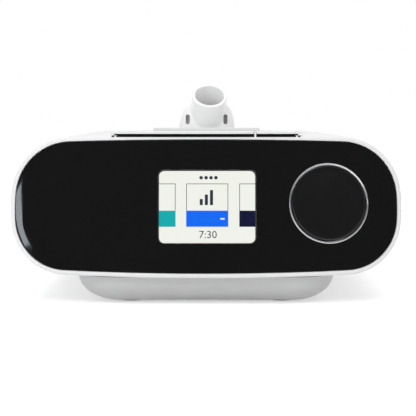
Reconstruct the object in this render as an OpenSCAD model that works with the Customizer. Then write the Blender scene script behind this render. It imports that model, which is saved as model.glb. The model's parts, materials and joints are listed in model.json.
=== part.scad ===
// Bilevel positive airway pressure machine with its heated humidifier docked behind it.
// Millimetres. X runs to the viewer's right, Y to the back and Z up.
// The origin is the middle of the footprint, on the table.

/* [Case] */
// Width of the machine and of the humidifier
case_w = 193; // [188:1:200]
// Height of the case's underside above the table
case_low = 13.9; // [13:0.1:16]
// Height of the case's flat top above the table
case_top = 83.3; // [82:0.1:86]
// Thickness of the moulded walls
wall = 2.4; // [2:0.1:2.8]
// Front-to-back length of the therapy unit
unit_depth = 157; // [155:1:165]
// Front-to-back length of the humidifier
humid_depth = 139.7; // [138:0.1:150]
// Gap between the therapy unit and the docked humidifier
dock_gap = 0.3; // [0.2:0.1:0.5]
// Radius of the two upper corners, seen from the front
top_corner_r = 30; // [27:0.5:31]
// Radius of the two lower corners, seen from the front
low_corner_r = 27.5; // [26:0.5:30]
// Radius of the slight crown along the top and the bottom
crown_r = 2200; // [1800:50:3000]
// Radius of the nearly flat middle of the two ends
end_r = 100; // [90:1:120]
// How far the widest point lies below mid height
end_drop = 1.5; // [0:0.1:2.5]
// Radius of the humidifier's two rear corners, seen from above
rear_r = 30; // [24:1:34]
// Radius of the humidifier's rear edges, seen from the side
edge_r = 12; // [8:1:14]
// Clearance between neighbouring fixed pieces
fit_gap = 0.15; // [0.1:0.05:0.25]
// Clearance between pieces that move past each other
move_gap = 0.3; // [0.3:0.05:0.5]

/* [Pedestal] */
// Width of the narrow foot below the case
foot_w = 128; // [120:1:134]
// Height of the pedestal's underside above the table
foot_low = 0.6; // [0.4:0.1:1]
// Width of the pedestal's rounded lower edge, seen from above
foot_round = 20; // [16:1:21]
// Radius of the pedestal's corners, seen from above
foot_corner_r = 22; // [21.5:0.5:26]
// How far the pedestal starts behind the lower front edge
foot_setback = 7; // [5:0.5:12]
// How far the pedestal ends before the back of the humidifier
foot_rear_setback = 10; // [8:1:16]
// Radius of the rubber feet
pad_r = 6.5; // [5:0.5:8]
// Depth of the pockets that hold the rubber feet
pad_pocket = 1.2; // [1:0.1:1.4]

/* [Front] */
// Backward lean of the front in degrees
face_lean = 8; // [6:0.5:10]
// Radius of the front's curve, seen from above
face_r = 420; // [380:10:500]
// Width of the white rim around the glossy fascia
rim_w = 2.4; // [2:0.1:3]
// Width of the ledge that the fascia rests on
ledge_w = 3; // [2.5:0.1:4]
// Thickness of the glossy fascia
fascia_t = 2.4; // [2:0.1:2.8]
// How far the fascia lies below the white rim
fascia_recess = 0.2; // [0.1:0.05:0.3]
// Depth of the white rim piece from front to back
bezel_depth = 22; // [21.5:0.5:23]

/* [Screen] */
// Width of the visible screen
screen_w = 47.8; // [44:0.2:50]
// Height of the visible screen
screen_h = 36; // [32:0.5:38]
// Corner radius of the screen window
screen_r = 3; // [2:0.5:4]
// Sideways place of the screen's middle
screen_x = 0.5; // [-2:0.5:2]
// Thickness of the clear window
window_t = 1.6; // [1.2:0.1:2]
// Border of the display module around the visible screen
module_border = 3; // [2:0.5:3]
// Thickness of the display module
module_t = 4.5; // [4:0.5:5]
// Thickness of all circuit boards
board_t = 1.6; // [1.4:0.2:1.8]

/* [Dial] */
// Diameter of the control dial
dial_d = 36.7; // [34:0.1:37.5]
// Diameter of the bright ring around the dial
ring_d = 39.4; // [38.6:0.1:41]
// Distance from the case's side to the dial's middle, along the front
dial_in = 36.5; // [34.5:0.5:38.5]
// Height of the dial's middle above mid height, along the front
dial_up = 1.9; // [0:0.1:3]
// How far the dial stands out of the fascia
dial_proud = 0.6; // [0.5:0.1:1]
// Press travel of the dial
dial_travel = 0.6; // [0.4:0.1:0.8]
// Radius of the dial's metal shaft
shaft_r = 2.95; // [2.7:0.05:3]

/* [Top buttons] */
// Half of the width of the button recess
recess_half_w = 46.3; // [45:0.1:47]
// Depth of the button recess from front to back
recess_len = 23; // [21:0.5:24]
// Depth of the button recess below the case's top
recess_deep = 1.2; // [1:0.1:1.3]
// Height of the button caps' top above the case's top
cap_proud = 1.6; // [1.4:0.1:1.8]
// Thickness of the button caps
cap_t = 1.2; // [1:0.1:1.3]
// How far the caps run past the recess at each end
cap_over = 0.9; // [0.5:0.1:1.2]
// Sideways place of the divider between the two buttons
divider_x = 24.1; // [22:0.1:26]
// Width of the divider between the two buttons
divider_w = 0.9; // [0.7:0.1:1.2]
// Press travel of both top buttons
button_travel = 0.7; // [0.4:0.05:0.75]
// Thickness of the dark seal mat under the caps
mat_t = 0.5; // [0.4:0.1:0.5]
// Radius of the posts under the caps
post_r = 2; // [1.6:0.1:2.2]

/* [Blower] */
// Sideways place of the blower's axis
blower_x = -2; // [-4:0.5:0]
// Front-to-back place of the blower's axis, from the unit's back
blower_back = 70.5; // [69:0.5:72]
// Outer radius of the blower casing
volute_r = 36; // [35:0.5:36.5]
// Wall thickness of the blower casing
volute_wall = 2; // [1.6:0.1:2.2]
// Radius of the impeller
impeller_r = 28; // [26:0.5:29]
// Number of impeller blades
blades = 9; // [7:1:11]
// Outer radius of the motor housing
motor_r = 23.5; // [22:0.5:24]
// Radius of the motor shaft
motor_shaft_r = 2; // [1.8:0.1:2.2]
// Outer radius of the motor bearings
bearing_r = 5; // [4.5:0.5:5.5]
// Sideways distance from the blower's axis to its outlet
outlet_off = 25; // [24:0.5:25]
// Height of the air outlet's middle above the table
air_z = 32.5; // [32:0.5:33]
// Inner radius of the air path between unit and humidifier
air_r = 9; // [8:0.25:9]

/* [Filters and card] */
// Front-to-back length of the filter door
filter_door_l = 52; // [50:1:54]
// Height of the filter door's lower edge above the table
filter_door_low = 33; // [32:0.5:34]
// Height of the filter door
filter_door_h = 32; // [31:0.5:33]
// Distance from the unit's back to the filter door's rear edge
filter_door_back = 44.5; // [43:0.5:46]
// Length of the filters along the machine
filter_l = 40.2; // [38:0.2:40.4]
// Height of the filters
filter_h = 26.2; // [25:0.2:26.4]
// Front-to-back length of the card door
card_door_l = 40; // [38:1:42]
// Height of the card door's lower edge above the table
card_door_low = 50; // [49:0.5:51]
// Height of the card door
card_door_h = 14; // [13:0.5:15]
// Distance from the unit's back to the card door's rear edge
card_door_back = 46.5; // [44:0.5:48]
// Thickness of the side doors
door_t = 2.2; // [2:0.1:2.4]
// Radius of the side doors' hinge knuckles
knuckle_r = 2; // [1.9:0.1:2.2]
// Radius of the side doors' hinge pins
pin_r = 0.8; // [0.7:0.05:0.9]
// Width of the memory card
card_w = 24; // [24:0.1:24.2]
// Length of the memory card
card_l = 32; // [32:0.1:32.2]
// Thickness of the memory card
card_t = 2.1; // [2.1:0.05:2.2]
// Push travel of the memory card
card_travel = 1; // [0.5:0.1:1.2]

/* [Humidifier] */
// Height of the joint between humidifier base and lid above the table
lid_split = 62; // [61.5:0.5:63]
// Radius of the lid's hinge knuckles
lid_knuckle_r = 3.3; // [3:0.1:3.5]
// Radius of the lid's hinge pins
lid_pin_r = 1.5; // [1.3:0.1:1.7]
// Width of the lid latch
latch_w = 61.6; // [56:0.2:64]
// Length of the lid latch from front to back
latch_l = 13.3; // [12:0.1:14]
// Slide travel of the lid latch
latch_travel = 3.5; // [3:0.1:4]
// Wall thickness of the water tank
tank_wall = 2; // [1.6:0.1:2.4]
// Height of the joint between tank and tank lid above the table
tank_split = 46; // [45:0.5:47]
// Height of the tank lid's top above the table
tank_top = 64; // [63.5:0.5:64.5]
// Radius of the heater plate
heater_r = 40; // [36:0.5:41]
// Distance from the humidifier's front to the heater plate's middle
heater_in = 75.2; // [74:0.2:76]
// Rise of the sprung heater plate when the lid opens
heater_rise = 2.5; // [2:0.1:2.5]
// Press travel of the dock release button
release_travel = 3; // [2.6:0.1:3.2]

/* [Hose port] */
// Radius of the hose port's outside
port_r = 11; // [10.9:0.05:11.1]
// Radius of the hose port's bore
port_bore_r = 9.15; // [8.8:0.05:9.3]
// Length of the slanted port tube
port_len = 29.6; // [26:0.2:32]
// Lean of the port tube from upright, in degrees, to the front
port_lean = 42; // [38:1:45]
// Turn of the port tube about the vertical in degrees
port_turn = 5.5; // [0:0.5:7]
// Distance from the humidifier's front to the port's foot
port_in = 99.5; // [97:0.5:103]
// Half of the width of the port's foot
saddle_half_w = 19; // [17.5:0.5:21]
// Length of the port's widening foot, along the tube
saddle_len = 16; // [14:0.5:18]

/* [Hidden] */
$fn = 96;

// Levels and places that follow from the case
half_d = (unit_depth + dock_gap + humid_depth) / 2;
front_y = -half_d;
back_y = half_d;
unit_back = front_y + unit_depth;
humid_front = unit_back + dock_gap;
body_back = back_y - lid_knuckle_r;
mid_z = (case_low + case_top) / 2;
half_h = (case_top - case_low) / 2;
half_w = case_w / 2;
dial_x = half_w - dial_in;
far = 60;

// The front: its tangent plane leans back about mid height
face_y = front_y + half_h * tan(face_lean);
top_front_y = face_y + half_h * tan(face_lean);
seat_depth = fascia_recess + fascia_t;
bezel_back = face_y + bezel_depth;
opening_inset = rim_w + ledge_w;

function face_dip(x) = face_r - sqrt(face_r * face_r - x * x);

// Steps of the case outline's three kinds of arc
crown_steps = 5;
corner_steps = 10;
end_steps = 2;

function flipped(points, sx, sy) = [for (p = points) [p.x * sx, p.y * sy]];
function turned_round(points) = [for (i = [len(points) - 1:-1:0]) points[i]];
function middle_of(points) = [for (i = [1:len(points) - 2]) points[i]];
function tail_of(points) = [for (i = [1:len(points) - 1]) points[i]];
function arc(c, r, a0, a1, n, first) =
    [for (i = [first:n]) c + r * [cos(a0 + (a1 - a0) * i / n), sin(a0 + (a1 - a0) * i / n)]];

// Middle of a circle of radius r that touches two larger circles from inside
function inner_touch(c0, r0, c1, r1, r) =
    let (d = norm(c1 - c0), u = (c1 - c0) / d)
    let (a = ((r0 - r) ^ 2 - (r1 - r) ^ 2 + d * d) / (2 * d))
    c0 + u * a + [u.y, -u.x] * sqrt((r0 - r) ^ 2 - a * a);

// One quarter of the outline, from the middle of the crown to the middle of the end
function quarter(hw, hh, cr, er, kr, drop) =
    let (c0 = [0, hh - cr], c1 = [hw - er, -drop])
    let (k = inner_touch(c0, cr, c1, er, kr))
    let (a_crown = atan2(k.y - c0.y, k.x - c0.x), a_end = atan2(k.y - c1.y, k.x - c1.x))
    concat(arc(c0, cr, 90, a_crown, crown_steps, 0),
        arc(k, kr, a_crown, a_end, corner_steps, 1),
        arc(c1, er, a_end, 0, end_steps, 1));

function right_side(inset) =
    let (w = half_w - inset, h = half_h - inset, cr = crown_r - inset, er = end_r - inset)
    let (upper = quarter(w, h, cr, er, top_corner_r - inset, end_drop))
    let (lower = quarter(w, h, cr, er, low_corner_r - inset, -end_drop))
    concat(upper, tail_of(turned_round(flipped(lower, 1, -1))));

function outline(inset) =
    concat(right_side(inset), middle_of(turned_round(flipped(right_side(inset), -1, 1))));

// Half width of the case at a height above the table
function edge_x(z) = lookup(z, [for (p = turned_round(right_side(0))) [p.y + mid_z, p.x]]);

function round_rect(w, h, r) =
    let (x = w / 2 - r, y = h / 2 - r, n = 6)
    concat(arc([x, y], r, 0, 90, n, 0), arc([-x, y], r, 90, 180, n, 0),
        arc([-x, -y], r, 180, 270, n, 0), arc([x, -y], r, 270, 360, n, 0));

module case_section(inset) translate([0, mid_z]) polygon(outline(inset));
module along_y(y0, y1) translate([0, y1, 0]) rotate([90, 0, 0]) linear_extrude(y1 - y0) children();
module along_x(x0, x1) translate([x0, 0, 0]) rotate([90, 0, 90]) linear_extrude(x1 - x0) children();
module along_z(z0, z1) translate([0, 0, z0]) linear_extrude(z1 - z0) children();
module block(a, b) translate(a) cube(b - a);
module post(x, y, z0, z1, r) translate([x, y, z0]) cylinder(r = r, h = z1 - z0);
module rod_y(x, z, y0, y1, r) translate([x, y1, z]) rotate([90, 0, 0]) cylinder(r = r, h = y1 - y0);
module rod_x(y, z, x0, x1, r) translate([x0, y, z]) rotate([0, 90, 0]) cylinder(r = r, h = x1 - x0);
module both_sides() {
    children();
    mirror([1, 0, 0]) children();
}

// Frame on the leaning front: X along it, Y into the machine, Z up the slope
module on_face() translate([0, face_y, mid_z]) rotate([-face_lean, 0, 0]) children();
module face_drum(inset) on_face() translate([0, face_r, -far]) cylinder(r = face_r - inset, h = 2 * far, $fn = 360);
module in_face(y0, y1) on_face() translate([0, y1, 0]) rotate([90, 0, 0]) linear_extrude(y1 - y0) children();

// Frame on the dial: Z out of the machine, along the dial's axis
module on_dial() on_face() translate([dial_x, face_dip(dial_x), dial_up])
    rotate([0, 0, asin(dial_x / face_r)]) rotate([90, 0, 0]) children();
module dial_disc(z0, z1, r) on_dial() translate([0, 0, z0]) cylinder(r = r, h = z1 - z0);
module d_section(r, flat) difference() {
    circle(r);
    translate([flat, -r]) square([r, 2 * r]);
}

// The display and its board
module_y0 = seat_depth + face_dip(screen_w / 2 + module_border + abs(screen_x)) + fit_gap;
module_y1 = module_y0 + module_t;
board_y0 = module_y1 + 0.4;
board_y1 = board_y0 + board_t;
board_left = -52;
board_right = 34;
board_half_h = 23;
board_post_r = 2.8;
board_posts = [[-46, -19], [-46, 19], [31, -19], [31, 19]];
small_screw_r = 1.05;
small_head_r = 2.2;
small_head_t = 1.4;

module screen_cut(w_add) in_face(-far / 4, far / 4) translate([screen_x, 0])
    polygon(round_rect(screen_w + w_add, screen_h + w_add, screen_r + w_add / 2));

module front_fascia() color([0.08, 0.08, 0.085]) difference() {
    union() {
        intersection() {
            along_y(front_y - 1, bezel_back) case_section(rim_w);
            difference() {
                face_drum(fascia_recess);
                face_drum(seat_depth);
            }
        }
        for (p = board_posts) on_face() rod_y(p.x, p.y, seat_depth - 0.6 + face_dip(p.x), board_y0, board_post_r);
    }
    for (p = board_posts) on_face() rod_y(p.x, p.y, seat_depth + 1, board_y0 + 1, small_screw_r + 0.02);
    screen_cut(2 * fit_gap);
    dial_disc(-far / 4, far / 4, ring_d / 2 + fit_gap);
}

module screen_window() color([0.75, 0.8, 0.82, 0.4]) intersection() {
    screen_cut(0);
    difference() {
        face_drum(fascia_recess);
        face_drum(fascia_recess + window_t);
    }
}

module display_module() color([0.96, 0.96, 0.94]) in_face(module_y0, module_y1) translate([screen_x, 0])
    square([screen_w + 2 * module_border, screen_h + 2 * module_border], center = true);

// Chips and plugs behind the display: place, size and thickness
display_parts = [[-44, -12, 12, 16, 2], [-8, -9, 18, 18, 1.8], [16, -16, 12, 6, 5]];
screw_gap = 0.25;

module display_board() color([0.1, 0.35, 0.2]) difference() {
    union() {
        on_face() block([board_left, board_y0, -board_half_h], [board_right, board_y1, board_half_h]);
        for (p = display_parts) on_face() translate([p.x, board_y1, p.y]) cube([p[2], p[4], p[3]]);
    }
    for (p = board_posts) on_face() rod_y(p.x, p.y, board_y0 - 1, board_y1 + 1, small_screw_r + screw_gap);
}

// The dial's stack, measured along its axis from the fascia's face
dial_face_t = 2.2;
ring_floor_top = -(dial_travel + 6.8);
ring_floor_t = 1.8;
skirt_low = ring_floor_top + dial_travel + 0.9;
hub_low = skirt_low + 0.5;
rotor_top = ring_floor_top - 0.8;
encoder_top = ring_floor_top - ring_floor_t - 0.1;
rotor_low = encoder_top - 5;
shaft_low = rotor_low - 1.5;
encoder_low = shaft_low - dial_travel - 1.9;
shaft_flat = 0.75 * shaft_r;
rotor_r = shaft_r + 1.45;
ring_bore_r = dial_d / 2 + 0.4;
clamp_top = -seat_depth - 0.8;
clamp_t = 1.4;
clamp_out = 2.8;
dial_wall = 1.8;
dial_hub_r = 6;
encoder_half_w = 7.5;
encoder_half_h = 6.5;

module dial_ring() color([0.62, 0.63, 0.65]) difference() {
    union() {
        dial_disc(ring_floor_top - ring_floor_t, 0.1, ring_d / 2);
        dial_disc(clamp_top - clamp_t, clamp_top, ring_d / 2 + clamp_out);
    }
    dial_disc(ring_floor_top, far / 4, ring_bore_r);
    dial_disc(-far / 4, 0, rotor_r + 0.8);
}

dish_deep = 0.5;
dish_rim = 2.4;
dish_half = dial_d / 2 - dish_rim;
dish_r = (dish_half ^ 2 + dish_deep ^ 2) / (2 * dish_deep);

module control_dial() color([0.1, 0.1, 0.105]) difference() {
    union() {
        difference() {
            dial_disc(skirt_low, dial_proud, dial_d / 2);
            dial_disc(-far / 4, dial_proud - dial_face_t, dial_d / 2 - dial_wall);
        }
        dial_disc(hub_low, dial_proud - dial_face_t + 0.5, dial_hub_r);
    }
    on_dial() translate([0, 0, dial_proud + dish_r - dish_deep]) sphere(r = dish_r, $fn = 200);
    on_dial() translate([0, 0, hub_low - 1]) linear_extrude(dial_proud - dial_face_t - hub_low + 0.9)
        d_section(shaft_r + 0.02, shaft_flat + 0.02);
}

module dial_shaft() color([0.7, 0.7, 0.72]) on_dial() translate([0, 0, shaft_low])
    linear_extrude(dial_proud - dial_face_t - 0.2 - shaft_low) d_section(shaft_r, shaft_flat);

module encoder_rotor() color([0.8, 0.75, 0.55]) difference() {
    dial_disc(rotor_low, rotor_top, rotor_r);
    on_dial() translate([0, 0, rotor_low - 1]) linear_extrude(rotor_top - rotor_low + 2)
        d_section(shaft_r + 0.06, shaft_flat + 0.06);
}

module encoder_body() color([0.3, 0.32, 0.35]) difference() {
    on_dial() block([-encoder_half_w, -encoder_half_h, encoder_low], [encoder_half_w, encoder_half_h, encoder_top]);
    dial_disc(rotor_low - 0.2, far / 4, rotor_r + 0.08);
    dial_disc(shaft_low - dial_travel - 0.9, 0, shaft_r + 0.3);
}

// The button recess, its caps and what lies under them
recess_back = top_front_y + recess_len;
recess_z = case_top - recess_deep;
cap_top_z = case_top + cap_proud;
cap_low_z = cap_top_z - cap_t;
cap_inset = 1.2;
cap_back = recess_back - 1.4;
cap_end = recess_half_w + cap_over;
cap_gap = 0.25;
plunger_y = top_front_y + 12.5;
plunger_z = case_top - opening_inset + 0.1;
switch_t = 1.7;
button_board_z = plunger_z - button_travel - 0.6 - switch_t - board_t;
bump_h = cap_low_z - button_travel - 0.2 - recess_z;
therapy_posts = [-34, -10, 14];
ramp_posts = [35.5];
switch_x = [-10, 35.5];
button_board_bosses = [-22, 24];
mat_half_w = recess_half_w - 2.6;
mat_lip = 0.8;
bump_x = recess_half_w - 1.8;
bump_half = 0.5;
button_boss_r = 2.6;
button_board_x0 = -40;
button_board_x1 = 43;
button_board_half = 5;
switch_half = 3;
switch_body_t = 1.2;
switch_stem_r = 1.6;

module button_recess() block([-recess_half_w, front_y - 5, recess_z], [recess_half_w, recess_back, case_top + 5]);

module button_cap(x0, x1, posts) {
    intersection() {
        block([x0, front_y - 5, cap_low_z], [x1, cap_back, cap_top_z]);
        face_drum(cap_inset);
    }
    for (x = posts) post(x, plunger_y, plunger_z, cap_low_z + 0.2, post_r);
}

module therapy_button() color([0.93, 0.93, 0.93])
    button_cap(-cap_end, divider_x - divider_w / 2 - cap_gap, therapy_posts);

module ramp_button() color([0.93, 0.93, 0.93])
    button_cap(divider_x + divider_w / 2 + cap_gap, cap_end, ramp_posts);

module button_mat() color([0.12, 0.12, 0.13]) difference() {
    union() {
        intersection() {
            block([-mat_half_w, front_y - 5, recess_z], [mat_half_w, recess_back - 0.1, recess_z + mat_t]);
            face_drum(cap_inset - 0.4);
        }
        block([-mat_half_w, recess_back - 0.1 - mat_lip, recess_z], [mat_half_w, recess_back - 0.1, cap_low_z + 0.3]);
    }
    block([divider_x - divider_w / 2 - 0.1, front_y - 5, recess_z - 1],
        [divider_x + divider_w / 2 + 0.1, recess_back - 4, case_top + 5]);
    for (x = concat(therapy_posts, ramp_posts)) post(x, plunger_y, recess_z - 1, case_top + 1, post_r + 0.5);
}

module front_bezel() color([0.9, 0.9, 0.9]) difference() {
    union() {
        difference() {
            intersection() {
                along_y(front_y - 1, bezel_back) case_section(0);
                face_drum(0);
            }
            difference() {
                along_y(front_y - 2, bezel_back) case_section(rim_w - fit_gap);
                face_drum(seat_depth);
            }
            along_y(front_y - 3, bezel_back + 1) case_section(opening_inset);
            button_recess();
        }
        intersection() {
            union() {
                for (x = [-bump_x, bump_x]) block([x - bump_half, front_y - 5, recess_z - 0.5],
                    [x + bump_half, bezel_back, recess_z + bump_h]);
                block([divider_x - divider_w / 2, front_y - 5, recess_z - 0.5],
                    [divider_x + divider_w / 2, bezel_back, cap_low_z + 0.6]);
            }
            face_drum(cap_inset + 0.2);
        }
        for (x = button_board_bosses)
            post(x, plunger_y, button_board_z + board_t, case_top - opening_inset + 1, button_boss_r);
    }
    for (x = concat(therapy_posts, ramp_posts)) post(x, plunger_y, case_top - far / 4, case_top + 5, post_r + 0.3);
    for (x = button_board_bosses)
        post(x, plunger_y, button_board_z - 1, case_top - opening_inset + 2, small_screw_r + 0.02);
}

module button_board() color([0.1, 0.35, 0.2]) difference() {
    block([button_board_x0, plunger_y - button_board_half, button_board_z],
        [button_board_x1, plunger_y + button_board_half, button_board_z + board_t]);
    for (x = button_board_bosses)
        post(x, plunger_y, button_board_z - 1, button_board_z + board_t + 1, small_screw_r + screw_gap);
}

module button_switches() color([0.2, 0.2, 0.22]) for (x = switch_x) {
    block([x - switch_half, plunger_y - switch_half, button_board_z + board_t],
        [x + switch_half, plunger_y + switch_half, button_board_z + board_t + switch_body_t]);
    post(x, plunger_y, button_board_z + board_t + switch_body_t, button_board_z + board_t + switch_t, switch_stem_r);
}

// Hinged doors in the side walls, built on the right and mirrored to the left
ear_l = 6;
door_reach = 14;
swing_gap = 0.7;
ear_foot = 1.5;
function hinge_z(low) = low + knuckle_r;
function hinge_x(low) = edge_x(hinge_z(low)) - knuckle_r;

module side_opening(y0, y1, low, h, below)
    block([half_w - door_reach, y0 - move_gap, low - below], [half_w + 5, y1 + move_gap, low + h + move_gap]);

module side_door(y0, y1, low, h) difference() {
    union() {
        intersection() {
            difference() {
                along_y(y0, y1) case_section(0);
                along_y(y0 - 1, y1 + 1) case_section(door_t);
            }
            block([half_w - door_reach, y0, hinge_z(low)], [half_w + 5, y1, low + h]);
        }
        rod_y(hinge_x(low), hinge_z(low), y0 + ear_l + move_gap, y1 - ear_l - move_gap, knuckle_r);
    }
    for (y = [y0 - 1, y1 - ear_l - move_gap]) block([half_w - door_reach, y, low - 1],
        [half_w + 5, y + ear_l + move_gap + 1, hinge_z(low) + knuckle_r + 0.4]);
    rod_y(hinge_x(low), hinge_z(low), y0 - 1, y1 + 1, pin_r + 0.06);
}

module side_ears(y0, y1, low) difference() {
    for (y = [y0 - 1, y1 - ear_l]) {
        rod_y(hinge_x(low), hinge_z(low), y, y + ear_l + 1, knuckle_r);
        block([hinge_x(low) - knuckle_r, y, low - ear_foot],
            [hinge_x(low) + knuckle_r - 0.4, y + ear_l + 1, hinge_z(low)]);
    }
    rod_y(hinge_x(low), hinge_z(low), y0 - 0.5, y1 + 0.5, pin_r + 0.02);
}

module side_pin(y0, y1, low) rod_y(hinge_x(low), hinge_z(low), y0 - 0.2, y1 + 0.2, pin_r);

filter_y1 = unit_back - filter_door_back;
filter_y0 = filter_y1 - filter_door_l;
card_y1 = unit_back - card_door_back;
card_y0 = card_y1 - card_door_l;

module filter_door() color([0.93, 0.93, 0.93]) side_door(filter_y0, filter_y1, filter_door_low, filter_door_h);
module sd_door() color([0.93, 0.93, 0.93]) mirror([1, 0, 0]) side_door(card_y0, card_y1, card_door_low, card_door_h);
module door_pins() color([0.7, 0.7, 0.72]) {
    side_pin(filter_y0, filter_y1, filter_door_low);
    mirror([1, 0, 0]) side_pin(card_y0, card_y1, card_door_low);
}

// The therapy unit's housings
tower_x = half_w - 18.5;
tower_y = [bezel_back + 13.6, unit_back - 12.5];
tower_r = 4.6;
screw_r = 1.5;
screw_head_r = 2.8;
screw_head_z = 30;
screw_top_z = mid_z + 12;
rear_y = unit_back - wall;

module unit_cavity() along_y(bezel_back - 1, rear_y) case_section(wall);

module towers(z0, z1) intersection() {
    for (x = [-tower_x, tower_x]) for (y = tower_y) post(x, y, z0, z1, tower_r);
    along_y(bezel_back, unit_back) case_section(wall / 2);
}

module top_housing() color([0.93, 0.93, 0.93]) {
    difference() {
        union() {
            difference() {
                intersection() {
                    along_y(bezel_back, unit_back) case_section(0);
                    block([-far * 2, front_y, mid_z], [far * 2, back_y, case_top + 5]);
                }
                unit_cavity();
            }
            towers(mid_z, case_top);
        }
        button_recess();
        for (x = [-tower_x, tower_x]) for (y = tower_y) post(x, y, mid_z - 1, screw_top_z + 1, screw_r + 0.02);
        side_opening(filter_y0, filter_y1, filter_door_low, filter_door_h, swing_gap);
        mirror([1, 0, 0]) side_opening(card_y0, card_y1, card_door_low, card_door_h, move_gap);
        rear_openings();
    }
    mirror([1, 0, 0]) side_ears(card_y0, card_y1, card_door_low);
}

// The pedestal, with a rounded lower edge that runs round its corners
foot_top = case_low + wall + 1.7;
foot_steps = 8;

// Wall of the pedestal from its underside up, measured from a line inside it
function foot_side(inset) =
    let (r = foot_corner_r - inset, rx = foot_round - inset, rz = case_low - foot_low - inset)
    concat([for (i = [0:foot_steps]) [r - rx + rx * sin(90 * i / foot_steps),
        foot_low + inset + rz * (1 - cos(90 * i / foot_steps))]], [[r, foot_top + inset]]);

function shifted(points, dx) = [for (p = points) [p.x + dx, p.y]];

module foot_solid(inset, y0, y1, round_front, round_back) {
    r = foot_corner_r - inset;
    side = foot_side(inset);
    x_in = foot_w / 2 - foot_corner_r;
    ya = y0 + (round_front ? inset : 0);
    yb = y1 - (round_back ? inset : 0);
    y_in = round_front ? ya + r : ya;
    y_out = round_back ? yb - r : yb;
    flat_end = [[0, foot_low + inset], [0, foot_top + inset]];
    along_y(y_in, y_out) polygon(concat(turned_round(shifted(flipped(side, -1, 1), -x_in)), shifted(side, x_in)));
    along_x(-x_in, x_in) polygon(concat(turned_round(shifted(flipped(round_front ? side : flat_end, -1, 1), y_in)),
        shifted(round_back ? side : flat_end, y_out)));
    for (x = [-x_in, x_in]) for (y = concat(round_front ? [y_in] : [], round_back ? [y_out] : []))
        translate([x, y, 0]) rotate_extrude() polygon(concat([[0, foot_low + inset]], side, [[0, foot_top + inset]]));
}

pad_margin = 1;
pad_in = 14;
foot_y0 = front_y + foot_setback;
pad_x = foot_w / 2 - foot_round - pad_r;
unit_pads = [foot_y0 + foot_round + pad_r + pad_margin, unit_back - pad_in];
humid_pads = [humid_front + pad_in, body_back - foot_rear_setback - foot_round - pad_r - pad_margin];
pad_top = foot_low + pad_pocket;

module pads(z1, r) for (x = [-pad_x, pad_x]) for (y = concat(unit_pads, humid_pads)) post(x, y, -1, z1, r);

air_x = blower_x - outlet_off;
socket_x = 30;
socket_z = 30;
socket_w = 20;
socket_h = 9;
release_z = 40;
release_h = 8;
arm_x1 = half_w - 9.5;
arm_x0 = arm_x1 - 3;
hook_x1 = arm_x1 + 2.3;

duct_r = air_r + 3.3;

module rear_openings() {
    rod_y(air_x, air_z, rear_y - 1, unit_back + 1, duct_r + 0.1);
    block([socket_x - socket_w / 2 - 0.1, rear_y - 1, socket_z - socket_h / 2 - 0.1],
        [socket_x + socket_w / 2 + 0.1, unit_back + 1, socket_z + socket_h / 2 + 0.1]);
    arm_slot(rear_y - 1, unit_back + 1);
}

module arm_slot(y0, y1)
    block([arm_x0 - release_travel - 0.4, y0, release_z - release_h / 2 - 0.6],
        [arm_x1 + 0.6, y1, release_z + release_h / 2 + 0.6]);

module bottom_housing() color([0.78, 0.78, 0.78]) {
    difference() {
        union() {
            difference() {
                union() {
                    intersection() {
                        along_y(bezel_back, unit_back) case_section(0);
                        block([-far * 2, front_y, 0], [far * 2, back_y, mid_z]);
                    }
                    foot_solid(0, foot_y0, unit_back, true, false);
                }
                unit_cavity();
                foot_solid(wall, foot_y0, rear_y, true, false);
            }
            towers(case_low, mid_z);
        }
        block([-far * 2, front_y - 1, case_low - fit_gap], [far * 2, bezel_back, case_top]);
        side_opening(filter_y0, filter_y1, filter_door_low, filter_door_h, swing_gap);
        for (x = [-tower_x, tower_x]) for (y = tower_y) {
            post(x, y, 0, screw_head_z, screw_head_r + 0.3);
            post(x, y, 0, mid_z + 1, screw_r + 0.2);
        }
        rear_openings();
        pads(pad_top, pad_r + 0.1);
    }
    side_ears(filter_y0, filter_y1, filter_door_low);
}

module rubber_feet() color([0.25, 0.25, 0.26]) for (x = [-pad_x, pad_x]) for (y = concat(unit_pads, humid_pads))
    post(x, y, 0, pad_top, pad_r);

module screw(head_r, head_t, r, length) {
    translate([0, 0, -head_t]) difference() {
        cylinder(r = head_r, h = head_t);
        translate([0, 0, -1]) cylinder(r = head_r * 0.5, h = 1 + head_t * 0.5, $fn = 6);
    }
    cylinder(r = r, h = length);
}

module screws() color([0.6, 0.6, 0.62]) {
    for (x = [-tower_x, tower_x]) for (y = tower_y) translate([x, y, screw_head_z])
        screw(screw_head_r, 2.4, screw_r, screw_top_z - screw_head_z);
    for (p = board_posts) on_face() translate([p.x, board_y1, p.y]) rotate([90, 0, 0])
        screw(small_head_r, small_head_t, small_screw_r, 4);
    for (x = button_board_bosses) translate([x, plunger_y, button_board_z])
        screw(small_head_r, small_head_t, small_screw_r, 4.5);
}

// The blower and the chassis that carries it
blower_y = unit_back - blower_back;
chassis_z = foot_top;
chassis_t = 2;
chassis_top = chassis_z + chassis_t;
spigot_r = air_r + 1.6;
volute_low = air_z - air_r - volute_wall;
volute_top = air_z + air_r + volute_wall;
inlet_r = 15;
ear_r = 5;
ear_spread = volute_r + ear_r;
rib_t = 2.2;
rib_w = 3;
rib_below = 1;
ear_web_w = 8;
ear_angles = [30, 165, 275];
stem_r = 2;
stem_head_r = 3.2;
stem_head_t = 1.4;
spigot_end = unit_back - 21.5;
sleeve_start = spigot_end - 11;
bearing_h = 3;
magnet_z = volute_top + 3.6;
magnet_h = 9;
motor_top = magnet_z + magnet_h + 1.4;
cover_t = 1.5;
motor_wall = 3;
impeller_low = volute_low + volute_wall + 1.6;
impeller_top = volute_top - volute_wall - 3;
board_z = motor_top + cover_t + 3;
intake_wall = 1.6;
filter_gap = 0.2;
intake_y = (filter_y0 + filter_y1) / 2;
intake_z = filter_door_low + filter_door_h / 2;
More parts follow.
